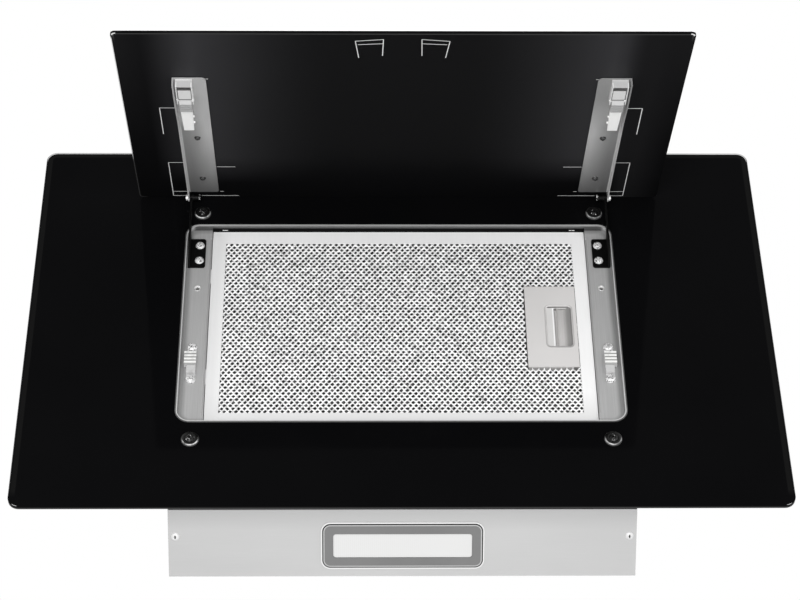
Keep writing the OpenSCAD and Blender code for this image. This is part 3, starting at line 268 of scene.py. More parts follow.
def start_group(name, inputs, outputs):
    """A node group with inputs given as (name, default) and named outputs, all of them values."""
    tree = bpy.data.node_groups.new(name, "ShaderNodeTree")
    for label, default in inputs:
        socket = tree.interface.new_socket(label, in_out="INPUT", socket_type="NodeSocketFloat")
        socket.default_value = default
    for label in outputs:
        tree.interface.new_socket(label, in_out="OUTPUT", socket_type="NodeSocketFloat")
    return tree, tree.nodes.new("NodeGroupInput").outputs, tree.nodes.new("NodeGroupOutput").inputs


def use_group(tree, group, **inputs):
    """The outputs of a node group placed in a tree, with the inputs that are given by name."""
    made = tree.nodes.new("ShaderNodeGroup")
    made.node_tree = group
    give(tree, made, {key.replace("_", " ").capitalize(): value for key, value in inputs.items()})
    return made.outputs


# Shared effects
def place_group(name, place):
    """Where a point of the surface lies along a place's three axes, in millimetres."""
    labels = ("Across", "Along", "Out")
    tree, _, result = start_group(name, (), labels)
    here = put(tree, "TexCoord").outputs["Object"]
    start = place(0, 0, 0)
    for label, axis in zip(labels, direction(place)):
        reach = put(tree, "VectorMath", {0: here, 1: axis}, operation="DOT_PRODUCT").outputs["Value"]
        offset = math_node(tree, "SUBTRACT", reach, start.dot(axis))
        tree.links.new(times(tree, offset, 1000.0), result[label])
    return tree


def grain_group():
    """Fine lines of brushed or rolled sheet, and broad patches. Fine and Long are how often the
    lines change in a millimetre across them and along them."""
    inputs = (("Across", 0.0), ("Along", 0.0), ("Fine", 3.0), ("Long", 0.02))
    tree, given, result = start_group("brushed_grain", inputs, ("Lines", "Patches"))
    fine = times(tree, given["Across"], given["Fine"])
    long = times(tree, given["Along"], given["Long"])
    spot = put(tree, "CombineXYZ", {0: fine, 1: long}).outputs[0]
    lines = put(tree, "TexNoise", {"Vector": spot, "Scale": 1.0, "Detail": 5.0, "Roughness": 0.65})
    broad = put(tree, "VectorMath", {0: spot, 1: (0.012, 0.35, 1.0)}, operation="MULTIPLY").outputs[0]
    patches = put(tree, "TexNoise", {"Vector": broad, "Scale": 1.0, "Detail": 2.0})
    tree.links.new(lines.outputs[0], result["Lines"])
    tree.links.new(patches.outputs[0], result["Patches"])
    return tree


def texture_group():
    """Fine moulded texture and soft smudges, in the object's own coordinates."""
    inputs = (("Grain", 2500.0), ("Smudge", 12.0))
    tree, given, result = start_group("fine_texture", inputs, ("Grain", "Smudge"))
    here = put(tree, "TexCoord").outputs["Object"]
    for label, detail in (("Grain", 3.0), ("Smudge", 4.0)):
        noise = put(tree, "TexNoise", {"Vector": here, "Scale": given[label], "Detail": detail})
        tree.links.new(noise.outputs[0], result[label])
    return tree


def edge_group():
    """1 along the sharp edges of a piece, within a radius in metres, and 0 elsewhere."""
    tree, given, result = start_group("worn_and_highlit_edges", (("Radius", 0.0006),), ("Edge",))
    rounded = put(tree, "Bevel", {"Radius": given["Radius"]}, samples=4).outputs[0]
    flat = put(tree, "NewGeometry").outputs["Normal"]
    same = put(tree, "VectorMath", {0: rounded, 1: flat}, operation="DOT_PRODUCT").outputs["Value"]
    tree.links.new(remap(tree, same, 0.995, 0.85), result["Edge"])
    return tree


def outline_group():
    """The distance outside a rounded rectangle about the middle, in millimetres. Inside is negative."""
    inputs = (("Across", 0.0), ("Along", 0.0), ("Half width", 10.0), ("Half length", 10.0), ("Corner", 1.0))
    tree, given, result = start_group("outside_outline", inputs, ("Outside",))
    sides = []
    for label, half in (("Across", "Half width"), ("Along", "Half length")):
        far = math_node(tree, "ABSOLUTE", given[label])
        far = math_node(tree, "SUBTRACT", far, given[half])
        sides.append(math_node(tree, "ADD", far, given["Corner"]))
    beyond = [math_node(tree, "MAXIMUM", side, 0.0) for side in sides]
    span = put(tree, "CombineXYZ", {0: beyond[0], 1: beyond[1]}).outputs[0]
    reach = put(tree, "VectorMath", {0: span}, operation="LENGTH").outputs["Value"]
    within = math_node(tree, "MINIMUM", math_node(tree, "MAXIMUM", sides[0], sides[1]), 0.0)
    total = math_node(tree, "ADD", reach, within)
    tree.links.new(math_node(tree, "SUBTRACT", total, given["Corner"]), result["Outside"])
    return tree


OUTLINE = outline_group()
SLOPE = place_group("place_on_slope", on_slope)
PANEL = place_group("place_on_panel", on_panel)
UPRIGHT = place_group("place_upright", on_upright)
LEVEL = place_group("place_level", on_level)
GRAIN = grain_group()
TEXTURE = texture_group()
EDGE = edge_group()


def outside(tree, spot, middle, width, length, corner, shift=0.0):
    """The distance outside a rounded rectangle whose middle lies at (shift, middle) of a place."""
    across = math_node(tree, "SUBTRACT", spot["Across"], shift)
    along = math_node(tree, "SUBTRACT", spot["Along"], middle)
    return use_group(tree, OUTLINE, across=across, along=along, half_width=width / 2,
                     half_length=length / 2, corner=corner)["Outside"]


def aside(tree, spot, start=0.0):
    """The distance to either side of the hood's middle, beyond a start, so that left and right match."""
    return math_node(tree, "SUBTRACT", math_node(tree, "ABSOLUTE", spot["Across"]), start)


def from_catch(tree, spot):
    """The distance to either side of the middle of a catch."""
    return math_node(tree, "ABSOLUTE", aside(tree, spot, CATCH_X))


# Kinds of material
def new_material(name, roughness, metallic=0.0, specular=0.5):
    """A material with its node tree and shader."""
    made = bpy.data.materials.new(name)
    made.use_nodes = True
    shader = made.node_tree.nodes["Principled BSDF"]
    shader.inputs["Roughness"].default_value = roughness
    shader.inputs["Metallic"].default_value = metallic
    shader.inputs["Specular IOR Level"].default_value = specular
    return made, made.node_tree, shader


def feed(tree, shader, **links):
    """Links sockets to the shader's inputs by name."""
    for key, socket in links.items():
        tree.links.new(socket, shader.inputs[key.replace("_", " ")])


def over(tree, shader, colour, *shares):
    """Lays a colour over what already feeds the base colour, by the product of shares from 0 to 1."""
    below = shader.inputs["Base Color"].links[0].from_socket
    feed(tree, shader, Base_Color=blend_colours(tree, times(tree, *shares), below, colour))


def rub_and_highlight_edges(tree, colour, edge_brightness, share, radius=0.0005):
    """A colour that turns to another along the sharp edges, partly worn by handling and partly a painted
    highlight.
    """
    edge_mask = use_group(tree, EDGE, radius=radius)["Edge"]
    return blend_colours(tree, times(tree, edge_mask, share), colour, edge_brightness)


def sheet_metal(name, dark, light, edge, roughness, place, metallic, fine, long=0.02, swap=False):
    """Rolled or brushed sheet: fine lines along one axis, broad patches, and bright edges that are partly
    worn and partly a painted highlight.
    """
    made, tree, shader = new_material(name, roughness, metallic)
    spot = use_group(tree, place)
    one, two = ("Along", "Across") if swap else ("Across", "Along")
    grain = use_group(tree, GRAIN, across=spot[one], along=spot[two], fine=fine, long=long)
    lines = times(tree, remap(tree, grain["Lines"], 0.32, 0.68), 0.55)
    patches = times(tree, spread(tree, grain["Patches"]), 0.45)
    colour = blend_colours(tree, math_node(tree, "ADD", lines, patches), dark, light)
    feed(tree, shader, Base_Color=rub_and_highlight_edges(tree, colour, edge, 0.6),
         Roughness=spread(tree, grain["Lines"], roughness - 0.06, roughness + 0.08),
         Normal=bump(tree, grain["Lines"], 0.00002, 0.5))
    return made, tree, shader


def moulded(name, dark, light, roughness, specular=0.5, metallic=0.0, grain=2500.0, depth=0.00002,
            edge=None):
    """Moulded plastic, paint or plating: fine texture, soft smudges and, with an edge colour, edges that are
    partly worn and partly a painted highlight.
    """
    made, tree, shader = new_material(name, roughness, metallic, specular)
    look = use_group(tree, TEXTURE, grain=grain, smudge=14.0)
    smudges = times(tree, spread(tree, look["Smudge"]), 0.7)
    share = math_node(tree, "ADD", smudges, times(tree, look["Grain"], 0.3))
    colour = blend_colours(tree, share, dark, light)
    if edge is not None:
        colour = rub_and_highlight_edges(tree, colour, edge, 0.5)
    feed(tree, shader, Base_Color=colour,
         Roughness=spread(tree, look["Smudge"], roughness - 0.05, roughness + 0.06),
         Normal=bump(tree, look["Grain"], depth, 0.6))
    return made, tree, shader


# Materials of the glass. In a band by an outline, a negative limit lies inside the outline.
def main_glass_black():
    """Back-painted black glass with painted highlights along its edge: light at the top, grey at the sides
    and foot.
    """
    made, tree, shader = new_material("main_glass_black", roughness=0.06, specular=0.012)
    spot = use_group(tree, SLOPE)
    far = outside(tree, spot, GLASS_L / 2, GLASS_W, GLASS_L, GLASS_R)
    look = use_group(tree, TEXTURE, grain=900.0, smudge=5.0)
    colour = blend_colours(tree, spread(tree, look["Smudge"]), tone(8, 8, 9), tone(11, 11, 12))
    feed(tree, shader, Base_Color=colour, Roughness=remap(tree, look["Smudge"], 0.35, 0.7, 0.04, 0.09))

    # Painted highlights along the edge: grey lines at the sides, and at the top a white band with a grey
    # line outside it. A faint lighter band lies a few millimetres inside the edge above the foot.
    top = remap(tree, spot["Along"], GLASS_L - 14.0, GLASS_L - 5.0)
    below_top = remap(tree, top, 1.0, 0.0)
    foot = remap(tree, spot["Along"], GLASS_R, GLASS_R - 8.0)
    above_foot = remap(tree, spot["Along"], GLASS_R, GLASS_R + 8.0)
    over(tree, shader, tone(70), band(tree, far, -0.6, 0.5, 0.2), above_foot, below_top)
    over(tree, shader, tone(20), band(tree, far, -6.5, -2.4, 0.8), above_foot)
    over(tree, shader, tone(252), band(tree, far, -1.3, -0.6, 0.2), top)
    over(tree, shader, tone(120), band(tree, far, -0.7, 0.5, 0.2), top)

    # Painted light on the edge face at the foot, dark at the front and lighter towards the back, and painted
    # glints at the lower corners.
    depth = remap(tree, spot["Out"], -0.3, -GLASS_T)
    edge_face_light = blend_colours(tree, times(tree, depth, depth), tone(10), tone(92))
    over(tree, shader, edge_face_light, band(tree, far, -0.3, 0.5, 0.1), foot, remap(tree, spot["Out"], -0.1, -0.4))
    glint = band(tree, aside(tree, spot), GLASS_W / 2 - 9.0, GLASS_W / 2 - 6.0, 1.5)
    over(tree, shader, tone(190), band(tree, far, -1.2, -0.8, 0.2), foot, glint)
    return made


def front_glass_black():
    """Black glass, duller on its inner face, with a painted glow by the brackets there and painted
    highlights on its free and left edges.
    """
    made, tree, shader = new_material("front_glass_black", roughness=0.06, specular=0.015)
    spot = use_group(tree, PANEL)
    side = aside(tree, spot)
    look = use_group(tree, TEXTURE, grain=900.0, smudge=6.0)
    inner = math_node(tree, "GREATER_THAN", spot["Out"], -0.4)
    # Painted light: the glass grows a little lighter towards its free edge.
    level = remap(tree, spot["Along"], 20.0, 300.0)
    feed(tree, shader, Base_Color=blend_colours(tree, level, tone(13, 13, 14), tone(16, 16, 17)),
         Roughness=math_node(tree, "ADD", times(tree, inner, 0.3), 0.06),
         Normal=bump(tree, look["Grain"], 0.000005, 0.3))

    half = PANEL_W / 2
    # A painted glow by the brackets on the inner face, and fainter painted glows in the margins beside them.
    rise = remap(tree, side, 60.0, BRACKET_IN + 11.0)
    fall = remap(tree, side, BRACKET_OUT + 28.5, BRACKET_IN + 14.0)
    above_hinge = remap(tree, spot["Along"], 35.0, 95.0)
    uneven = remap(tree, look["Smudge"], 0.2, 0.6, 0.8, 1.0)
    over(tree, shader, tone(52, 52, 54), inner, rise, rise, fall, above_hinge, uneven)
    margins = remap(tree, side, BRACKET_OUT + 9.5, half - 5.5)
    over(tree, shader, tone(25, 25, 26), inner, margins, remap(tree, spot["Along"], 120.0, 320.0))
    right_rise = remap(tree, spot["Across"], BRACKET_OUT - 9.5, BRACKET_OUT + 10.5)
    right_fall = remap(tree, spot["Across"], half - 0.5, BRACKET_OUT + 22.5)
    over(tree, shader, tone(27, 27, 28), inner, right_rise, right_fall)

    far = outside(tree, spot, PANEL_L / 2, PANEL_W, PANEL_L, PANEL_R)
    # Along the free end: a painted grey line inside the edge, a painted dark line at it and a painted white
    # highlight on the end face.
    free_edge = remap(tree, spot["Along"], PANEL_L - 17.0, PANEL_L - 5.0)
    end_face = band(tree, far, -0.4, 0.5, 0.1)
    over(tree, shader, tone(62), band(tree, far, -3.4, -2.0), free_edge)
    over(tree, shader, tone(5), band(tree, far, -1.0, -0.2), free_edge)
    over(tree, shader, tone(252), end_face, free_edge, remap(tree, spot["Out"], -1.9, -2.4))

    # Painted highlights on the left edge, grey near the hinge and bright further out, and on the free
    # corners.
    left_edge = times(tree, remap(tree, spot["Across"], 10.5 - half, 3.5 - half),
                      remap(tree, spot["Along"], PANEL_L - 7.0, PANEL_L - 13.0))
    lit_part = remap(tree, spot["Along"], 88.0, 112.0)
    over(tree, shader, tone(58), band(tree, far, -0.8, 0.5), left_edge)
    over(tree, shader, tone(226), band(tree, far, -0.7, 0.5), left_edge, lit_part)
    corner = times(tree, band(tree, side, half - 5.0, half - 1.5, 0.8),
                   remap(tree, spot["Along"], PANEL_L - 6.0, PANEL_L - 4.0))
    over(tree, shader, tone(240), band(tree, far, -2.2, -0.8), corner)
    return made


def printed_white():
    """The thin white print of the alignment lines."""
    return moulded("printed_white", tone(205), tone(238), 0.6, grain=3000.0)[0]


# Materials of the metal pieces
def casing_steel():
    """Plain steel sheet of the casing, the lamp's housing and the motor's bracket."""
    return sheet_metal("casing_steel", tone(165, 167, 169), tone(196, 197, 199), tone(225), 0.36, UPRIGHT,
                       metallic=1.0, fine=2.0)[0]


def bottom_sheet():
    """Satin sheet of the bottom plate, with painted shade towards the glass."""
    made, tree, shader = sheet_metal("bottom_sheet", tone(174), tone(182), tone(210), 0.42, LEVEL,
                                     metallic=0.2, fine=2.0, swap=True)
    front_y = box_mm("bottom_plate")[0].y
    spot = use_group(tree, LEVEL)
    # Painted shade towards the glass.
    over(tree, shader, tone(158), remap(tree, spot["Along"], front_y + 22.0, front_y, 0.0, 0.8))
    return made


def tray_sheet():
    """Satin sheet steel of the tray, with painted highlights on its rim and painted shade along its walls.
    """
    made, tree, shader = sheet_metal("tray_sheet", tone(170), tone(198), tone(228), 0.34, SLOPE,
                                     metallic=0.3, fine=1.6, long=0.012)
    spot = use_group(tree, SLOPE)
    far = outside(tree, spot, TRAY_V, TRAY_W, TRAY_L, TRAY_R)
    rim = remap(tree, spot["Out"], -0.6, -0.1)
    floor = remap(tree, spot["Out"], -2.0, -4.0)
    upper = remap(tree, spot["Along"], UPPER_WALL_V - 2.35, UPPER_WALL_V - 0.85)
    # Painted shade on the floor by the walls and on the outer half of the rim, and a painted highlight on
    # its inner half.
    over(tree, shader, tone(96), band(tree, far, -6.0, 1.0, 4.0), floor, 0.45)
    over(tree, shader, tone(90), band(tree, far, -1.1, 1.0, 0.2), rim)
    over(tree, shader, tone(206), band(tree, far, -2.5, -1.4, 0.2), rim)
    # Painted shade on the upper wall, with a painted highlight along its rim.
    over(tree, shader, tone(84), upper, remap(tree, spot["Out"], 0.9, 0.5))
    over(tree, shader, tone(190), upper, band(tree, far, -1.5, 1.0), rim)
    return made


def bracket_steel():
    """Satin steel of the panel brackets, with painted shade towards the hinge, where their outer folds carry
    a painted highlight, and painted shade by the catches.
    """
    made, tree, shader = sheet_metal("bracket_steel", tone(198), tone(216), tone(250), 0.4, PANEL,
                                     metallic=0.4, fine=2.2)
    spot = use_group(tree, PANEL)
    side = aside(tree, spot)
    # Painted shade, growing towards the hinge.
    over(tree, shader, tone(116), remap(tree, spot["Along"], 160.0, 20.0, 0.0, 0.9))
    # Painted shade on the inner part of each bracket from the hinge up to the catch's tongue, and a painted
    # highlight on the outer fold beside it.
    by_hinge = times(tree, remap(tree, side, BRACKET_IN + 5.0, BRACKET_OUT - 9.5),
                     remap(tree, spot["Along"], 182.0, 166.0))
    over(tree, shader, tone(104), by_hinge, 0.55)
    over(tree, shader, tone(214), by_hinge, band(tree, side, BRACKET_OUT - 2.6, BRACKET_OUT + 1.5, 0.5))
    # By the catches, painted shade growing darker to the right.
    by_catch = remap(tree, spot["Along"], 150.0, 230.0)
    over(tree, shader, tone(150), by_catch, remap(tree, spot["Across"], -300.0, 200.0, 0.1, 0.8))
    return made


def catch_steel():
    """Bright strip of the catch housings, with a painted highlight on the edges of their side walls."""
    made, tree, shader = sheet_metal("catch_steel", tone(204), tone(228), tone(252), 0.36, PANEL,
                                     metallic=0.25, fine=2.2, long=0.03)
    spot = use_group(tree, PANEL)
    walls = band(tree, from_catch(tree, spot), CATCH_HALF - 1.2, CATCH_HALF + 0.5, 0.1)
    # Painted highlight on the top edges of the side walls.
    over(tree, shader, tone(254), walls, remap(tree, spot["Out"], 5.0, 6.0))
    return made


def filter_frame_aluminium():
    """Pale rolled frame of the grease filter, a little greyer below and on the left."""
    made, tree, shader = sheet_metal("filter_frame_aluminium", tone(246), tone(253), tone(252), 0.42, SLOPE,
                                     metallic=0.0, fine=1.2)
    spot = use_group(tree, SLOPE)
    over(tree, shader, tone(222), remap(tree, spot["Along"], TRAY_V - 90.0, TRAY_V - 125.0, 0.0, 0.7))
    over(tree, shader, tone(226), remap(tree, spot["Across"], -185.0, -200.0, 0.0, 0.7))
    return made


def expanded_aluminium():
    """Bright aluminium strands with small differences from strand to strand."""
    made, tree, shader = new_material("expanded_aluminium", roughness=0.34, metallic=0.1)
    grain = use_group(tree, TEXTURE, grain=330.0, smudge=35.0)["Grain"]
    feed(tree, shader, Base_Color=blend_colours(tree, remap(tree, grain, 0.34, 0.48), tone(214), tone(255)),
         Roughness=spread(tree, grain, 0.22, 0.4), Normal=bump(tree, grain, 0.00008, 0.5))
    return made


def inner_aluminium():
    """The inner layers of the filter, painted dark for the shade deep in the filter."""
    made, tree, shader = new_material("inner_aluminium", roughness=0.4, metallic=0.4)
    grain = use_group(tree, TEXTURE, grain=300.0, smudge=30.0)["Grain"]
    # Painted shade, with a little random variation.
    feed(tree, shader, Base_Color=blend_colours(tree, remap(tree, grain, 0.46, 0.6), tone(5), tone(110)),
         Normal=bump(tree, grain, 0.0001, 0.5))
    return made


def bright_zinc():
    """Bright zinc plating of the small screws, pins, rivets and catch springs."""
    made, tree, shader = new_material("bright_zinc", roughness=0.3, metallic=0.55)
    look = use_group(tree, TEXTURE, grain=1500.0, smudge=120.0)
    colour = blend_colours(tree, remap(tree, look["Smudge"], 0.35, 0.65), tone(205, 205, 203), tone(248))
    feed(tree, shader, Base_Color=rub_and_highlight_edges(tree, colour, tone(250), 0.5, 0.0003),
         Normal=bump(tree, look["Grain"], 0.00003, 0.6))
    return made


def cross_screw_zinc():
    """Bright zinc of the small cross-headed screws, with dark specks."""
    made, tree, shader = moulded("cross_screw_zinc", tone(232), tone(250), 0.3, metallic=0.3, grain=1500.0,
                                 edge=tone(252))
    look = use_group(tree, TEXTURE, grain=620.0, smudge=160.0)
    over(tree, shader, tone(50), remap(tree, look["Grain"], 0.55, 0.6, 0.0, 0.9))
    return made


def hinge_pin_zinc():
    """Hinge pins with bright outer heads. Inboard of the arms they are painted dark as shade, with a few
    bright specks.
    """
    made, tree, shader = moulded("hinge_pin_zinc", tone(236), tone(250), 0.3, metallic=0.3, grain=1500.0)
    look = use_group(tree, TEXTURE, grain=700.0, smudge=160.0)
    side = aside(tree, use_group(tree, SLOPE))
    # Painted shade on the pins inboard of the arms' outer faces, with a few bright specks left.
    inner_end = remap(tree, side, HINGE_ARM_OUT - 0.5, HINGE_ARM_OUT - 2.5)
    over(tree, shader, tone(14), inner_end, remap(tree, look["Grain"], 0.62, 0.54))
    return made


def spring_steel():
    """Spring wire, shown as closely wound turns by a bump and by painted shade between them."""
    made, tree, shader = new_material("spring_steel", roughness=0.3, metallic=1.0)
    # Painted shade between the turns.
    turns = waves(tree, use_group(tree, LEVEL)["Across"], 9.0)
    feed(tree, shader, Base_Color=blend_colours(tree, remap(tree, turns, -1.0, 1.0), tone(70), tone(200)),
         Normal=bump(tree, turns, 0.0002, 0.8))
    return made


def plate_screw_zinc():
    """Dull bright zinc of the two screws in the bottom plate, with painted shade in their slots."""
    made, tree, shader = moulded("plate_screw_zinc", tone(206), tone(224), 0.4, metallic=0.15, grain=1500.0,
                                 edge=tone(252))
    slot_w, slot_l = 1.2, 3.2
    spot = use_group(tree, LEVEL)
    screws_low, screws_high = box_mm("bottom_screws")
    across = aside(tree, spot, PLATE_SCREW_X)
    along = math_node(tree, "SUBTRACT", spot["Along"], (screws_low.y + screws_high.y) / 2)
    # Painted shade in the slots.
    over(tree, shader, tone(30), band(tree, across, -slot_w / 2, slot_w / 2),
         band(tree, along, -slot_l / 2, slot_l / 2))
    return made


def from_glass_screw(tree, spot):
    """The distance from the nearest glass screw, and how far up the slope from it, in millimetres."""
    across = aside(tree, spot, SCREW_X)
    centred = math_node(tree, "SUBTRACT", spot["Along"], SCREW_V)
    nearest = times(tree, math_node(tree, "SIGN", centred), SCREW_SPREAD)
    up = math_node(tree, "SUBTRACT", centred, nearest)
    flat = put(tree, "CombineXYZ", {0: across, 1: up}).outputs[0]
    return put(tree, "VectorMath", {0: flat}, operation="LENGTH").outputs["Value"], up


def glass_washer_black():
    """Black cup washers with a painted grey ring round their rims and a patchy painted highlight on their
    lower rims.
    """
    made, tree, shader = moulded("glass_washer_black", tone(8), tone(16), 0.25, specular=0.2, grain=1800.0)
    look = use_group(tree, TEXTURE, grain=700.0, smudge=160.0)
    reach, up = from_glass_screw(tree, use_group(tree, SLOPE))
    # A painted grey ring round each rim, and a patchy painted highlight on its lower side.
    edge_brightness = remap(tree, look["Smudge"], 0.4, 0.6, 0.2, 1.0)
    lower = remap(tree, up, 2.0, -5.0)
    over(tree, shader, tone(70), band(tree, reach, WASHER_R - 0.4, WASHER_R + 0.2, 0.2))
    over(tree, shader, tone(214), band(tree, reach, WASHER_R - 1.4, WASHER_R - 0.7), lower, edge_brightness)
    return made


def dark_screw_steel():
    """Black screws with a few bright specks."""
    made, tree, shader = moulded("dark_screw_steel", tone(10), tone(22), 0.25, specular=0.2, grain=1800.0)
    look = use_group(tree, TEXTURE, grain=520.0, smudge=160.0)
    over(tree, shader, tone(210), remap(tree, look["Grain"], 0.6, 0.68))
    return made


def bracket_screw_steel():
    """Dark screws of the panel brackets with bright edges."""
    return moulded("bracket_screw_steel", tone(40), tone(70), 0.3, metallic=0.6, grain=1800.0,
                   edge=tone(190))[0]


def hinge_black_paint():
    """Black paint of the hinge arms and their washers."""
    return moulded("hinge_black_paint", tone(5), tone(9), 0.42, specular=0.08, grain=1600.0, depth=0.00004,
                   edge=tone(48))[0]


# Materials of the plastic and electric pieces
def rubber_pad():
    """Black rubber between the glass and the casing."""
    return moulded("rubber_pad", tone(18), tone(30), 0.85, specular=0.2, grain=900.0, depth=0.00006)[0]


def bond_foam():
    """Black foam tape under the brackets, and the black strip behind the tray's slot."""
    return moulded("bond_foam", tone(9), tone(16), 0.95, specular=0.05, grain=1400.0, depth=0.0001)[0]


def strike_white():
    """White strikes, with painted shade between their ribs and on their feet."""
    made, tree, shader = moulded("strike_white", tone(240, 240, 238), tone(250, 250, 248), 0.34,
                                 edge=tone(252))
    spot = use_group(tree, SLOPE)
    look = use_group(tree, TEXTURE, grain=800.0, smudge=160.0)
    # Painted shade between the ribs and on the feet.
    over(tree, shader, tone(150), remap(tree, spot["Out"], 1.5, 0.5, 0.0, 0.9))
    over(tree, shader, tone(200), remap(tree, spot["Out"], -0.1, -0.4))
    over(tree, shader, tone(170), remap(tree, look["Smudge"], 0.55, 0.7, 0.0, 0.5))
    return made


def lever_white():
    """White catch levers with painted shade: grey on their plates and grooved noses, darker in the grooves
    and in lines round their plates.
    """
    made, tree, shader = moulded("lever_white", tone(250, 250, 249), tone(254, 254, 253), 0.34)
    spot = use_group(tree, PANEL)
    along = spot["Along"]
    # Painted shade: a greyer plate and nose, darker grooves, and dark lines along the plate's sides, at its
    # end and where it starts.
    over(tree, shader, tone(214), remap(tree, along, LEVER_PLATE - 1.0, LEVER_PLATE, 0.0, 0.8))
    over(tree, shader, tone(186), band(tree, along, NOSE_START, LEVER_PLATE + 0.5, 0.8))
    grooved = band(tree, along, NOSE_START + 1.0, NOSE_START + 12.5, 0.5)
    grooves = remap(tree, waves(tree, along, 2 * math.pi / GROOVE_PITCH), 0.4, 0.9)
    over(tree, shader, tone(166), grooved, grooves)
    plate = remap(tree, along, LEVER_PLATE, LEVER_PLATE + 1.0)
    sides = band(tree, from_catch(tree, spot), LEVER_HALF - 0.45, LEVER_HALF + 0.85, 0.2)
    over(tree, shader, tone(70), plate, sides)
    over(tree, shader, tone(90), band(tree, along, LEVER_END - 0.1, LEVER_END + 1.0, 0.1))
    over(tree, shader, tone(60), band(tree, along, LEVER_PLATE - 0.4, LEVER_PLATE + 0.6, 0.2))
    return made


def white_plastic():
    """Off-white plastic of the capacitor and the lamp's driver."""
    return moulded("white_plastic", tone(218, 218, 216), tone(238, 238, 236), 0.36, edge=tone(250))[0]


def handle_grey_plastic():
    """Warm grey handle plate with a bevelled rim, a painted dark line beyond the bevel and painted shade on
    the walls of its recess.
    """
    made, tree, shader = moulded("handle_grey_plastic", tone(212, 210, 209), tone(220, 218, 217), 0.46,
                                 grain=2200.0, depth=0.00003, edge=tone(232, 230, 229))
    spot = use_group(tree, SLOPE)
    far = outside(tree, spot, HANDLE_V, RECESS_W, RECESS_L, RECESS_R, RECESS_X)
    feed(tree, shader, Normal=bump(tree, remap(tree, far, 0.0, 1.4), 0.0011, 0.9))
    deep = remap(tree, spot["Out"], -8.8, -9.6)
    right, top = RECESS_X + RECESS_W / 2, HANDLE_V + RECESS_L / 2
    right_wall = remap(tree, spot["Across"], right - 1.05, right - 0.25)
    upper_wall = remap(tree, spot["Along"], top - 1.0, top - 0.2)
    # A painted dark line just beyond the bevel, and painted shade on the right and upper walls of the
    # recess.
    over(tree, shader, tone(150, 149, 148), band(tree, far, 1.1, 1.7), 0.5)
    over(tree, shader, tone(120, 119, 118), deep, right_wall, 0.75)
    over(tree, shader, tone(120, 119, 118), deep, upper_wall, 0.9)
    return made


def handle_cup_grey():
    """The finger cup of the handle, with painted shade, darker on its right side and towards its top."""
    made, tree, shader = moulded("handle_cup_grey", tone(196, 194, 193), tone(206, 204, 203), 0.46,
                                 grain=2200.0)
    spot = use_group(tree, SLOPE)
    # Painted shade, darker to the right and towards the top.
    right = remap(tree, spot["Across"], RECESS_X + 5.0, RECESS_X + 13.0, 0.0, 0.9)
    upper = remap(tree, spot["Along"], HANDLE_V - 10.0, HANDLE_V + RECESS_L / 2, 0.0, 0.35)
    over(tree, shader, tone(120, 119, 118), right)
    over(tree, shader, tone(130, 129, 128), upper)
    return made


def latch_grey_plastic():
    """The latch of the handle, lighter than the plate, with a painted highlight on its ridge."""
    made, tree, shader = moulded("latch_grey_plastic", tone(212, 211, 210), tone(222, 221, 220), 0.42,
                                 grain=2200.0, edge=tone(240))
    spot = use_group(tree, SLOPE)
    # Painted highlight on the ridge.
    over(tree, shader, tone(252), band(tree, spot["Across"], RECESS_X - 6.4, RECESS_X - 4.0))
    return made


def bezel_grey_plastic():
    """Satin grey bezel with a painted light rim, a painted dark groove and a painted light line inside it.
    """
    made, tree, shader = moulded("bezel_grey_plastic", tone(95), tone(115), 0.4, metallic=0.05,
                                 grain=2600.0)
    low, high = box_mm("lamp_bezel")
    middle, size = (low + high) / 2, high - low
    far = outside(tree, use_group(tree, LEVEL), middle.y, size.x, size.y, BEZEL_R)
    # A painted light line, a painted dark groove and a painted light rim.
    over(tree, shader, tone(172), band(tree, far, -3.5, -2.6, 0.2))
    over(tree, shader, tone(40), band(tree, far, -2.5, -1.4, 0.15))
    over(tree, shader, tone(214), band(tree, far, -1.2, 1.0, 0.15))
    return made


def lamp_diffuser_white():
    """Opal lamp cover with fine ribs."""
    made, tree, shader = new_material("lamp_diffuser_white", roughness=0.35, specular=0.2)
    ribs = waves(tree, use_group(tree, LEVEL)["Across"], 3.1)
    colour = blend_colours(tree, remap(tree, ribs, -1.0, 1.0), tone(206, 206, 205), tone(209))
    feed(tree, shader, Base_Color=colour, Normal=bump(tree, ribs, 0.00003, 0.1))
    return made


def board_white():
    """White lacquer of the lamp's board."""
    return moulded("board_white", tone(215), tone(238), 0.5, grain=1200.0)[0]


def board_green():
    """Green lacquer of the touch board."""
    return moulded("board_green", tone(14, 56, 28), tone(22, 78, 38), 0.4, grain=1500.0,
                   edge=tone(90, 120, 70))[0]


def black_plastic():
    """Black plastic of the blower, the outlet and the terminal box."""
    return moulded("black_plastic", tone(24), tone(38), 0.5, specular=0.4, grain=1800.0, depth=0.00005,
                   edge=tone(78))[0]


def motor_paint():
    """Dark grey paint of the motor."""
    return moulded("motor_paint", tone(58, 60, 62), tone(84, 86, 88), 0.4, metallic=0.3, edge=tone(140))[0]


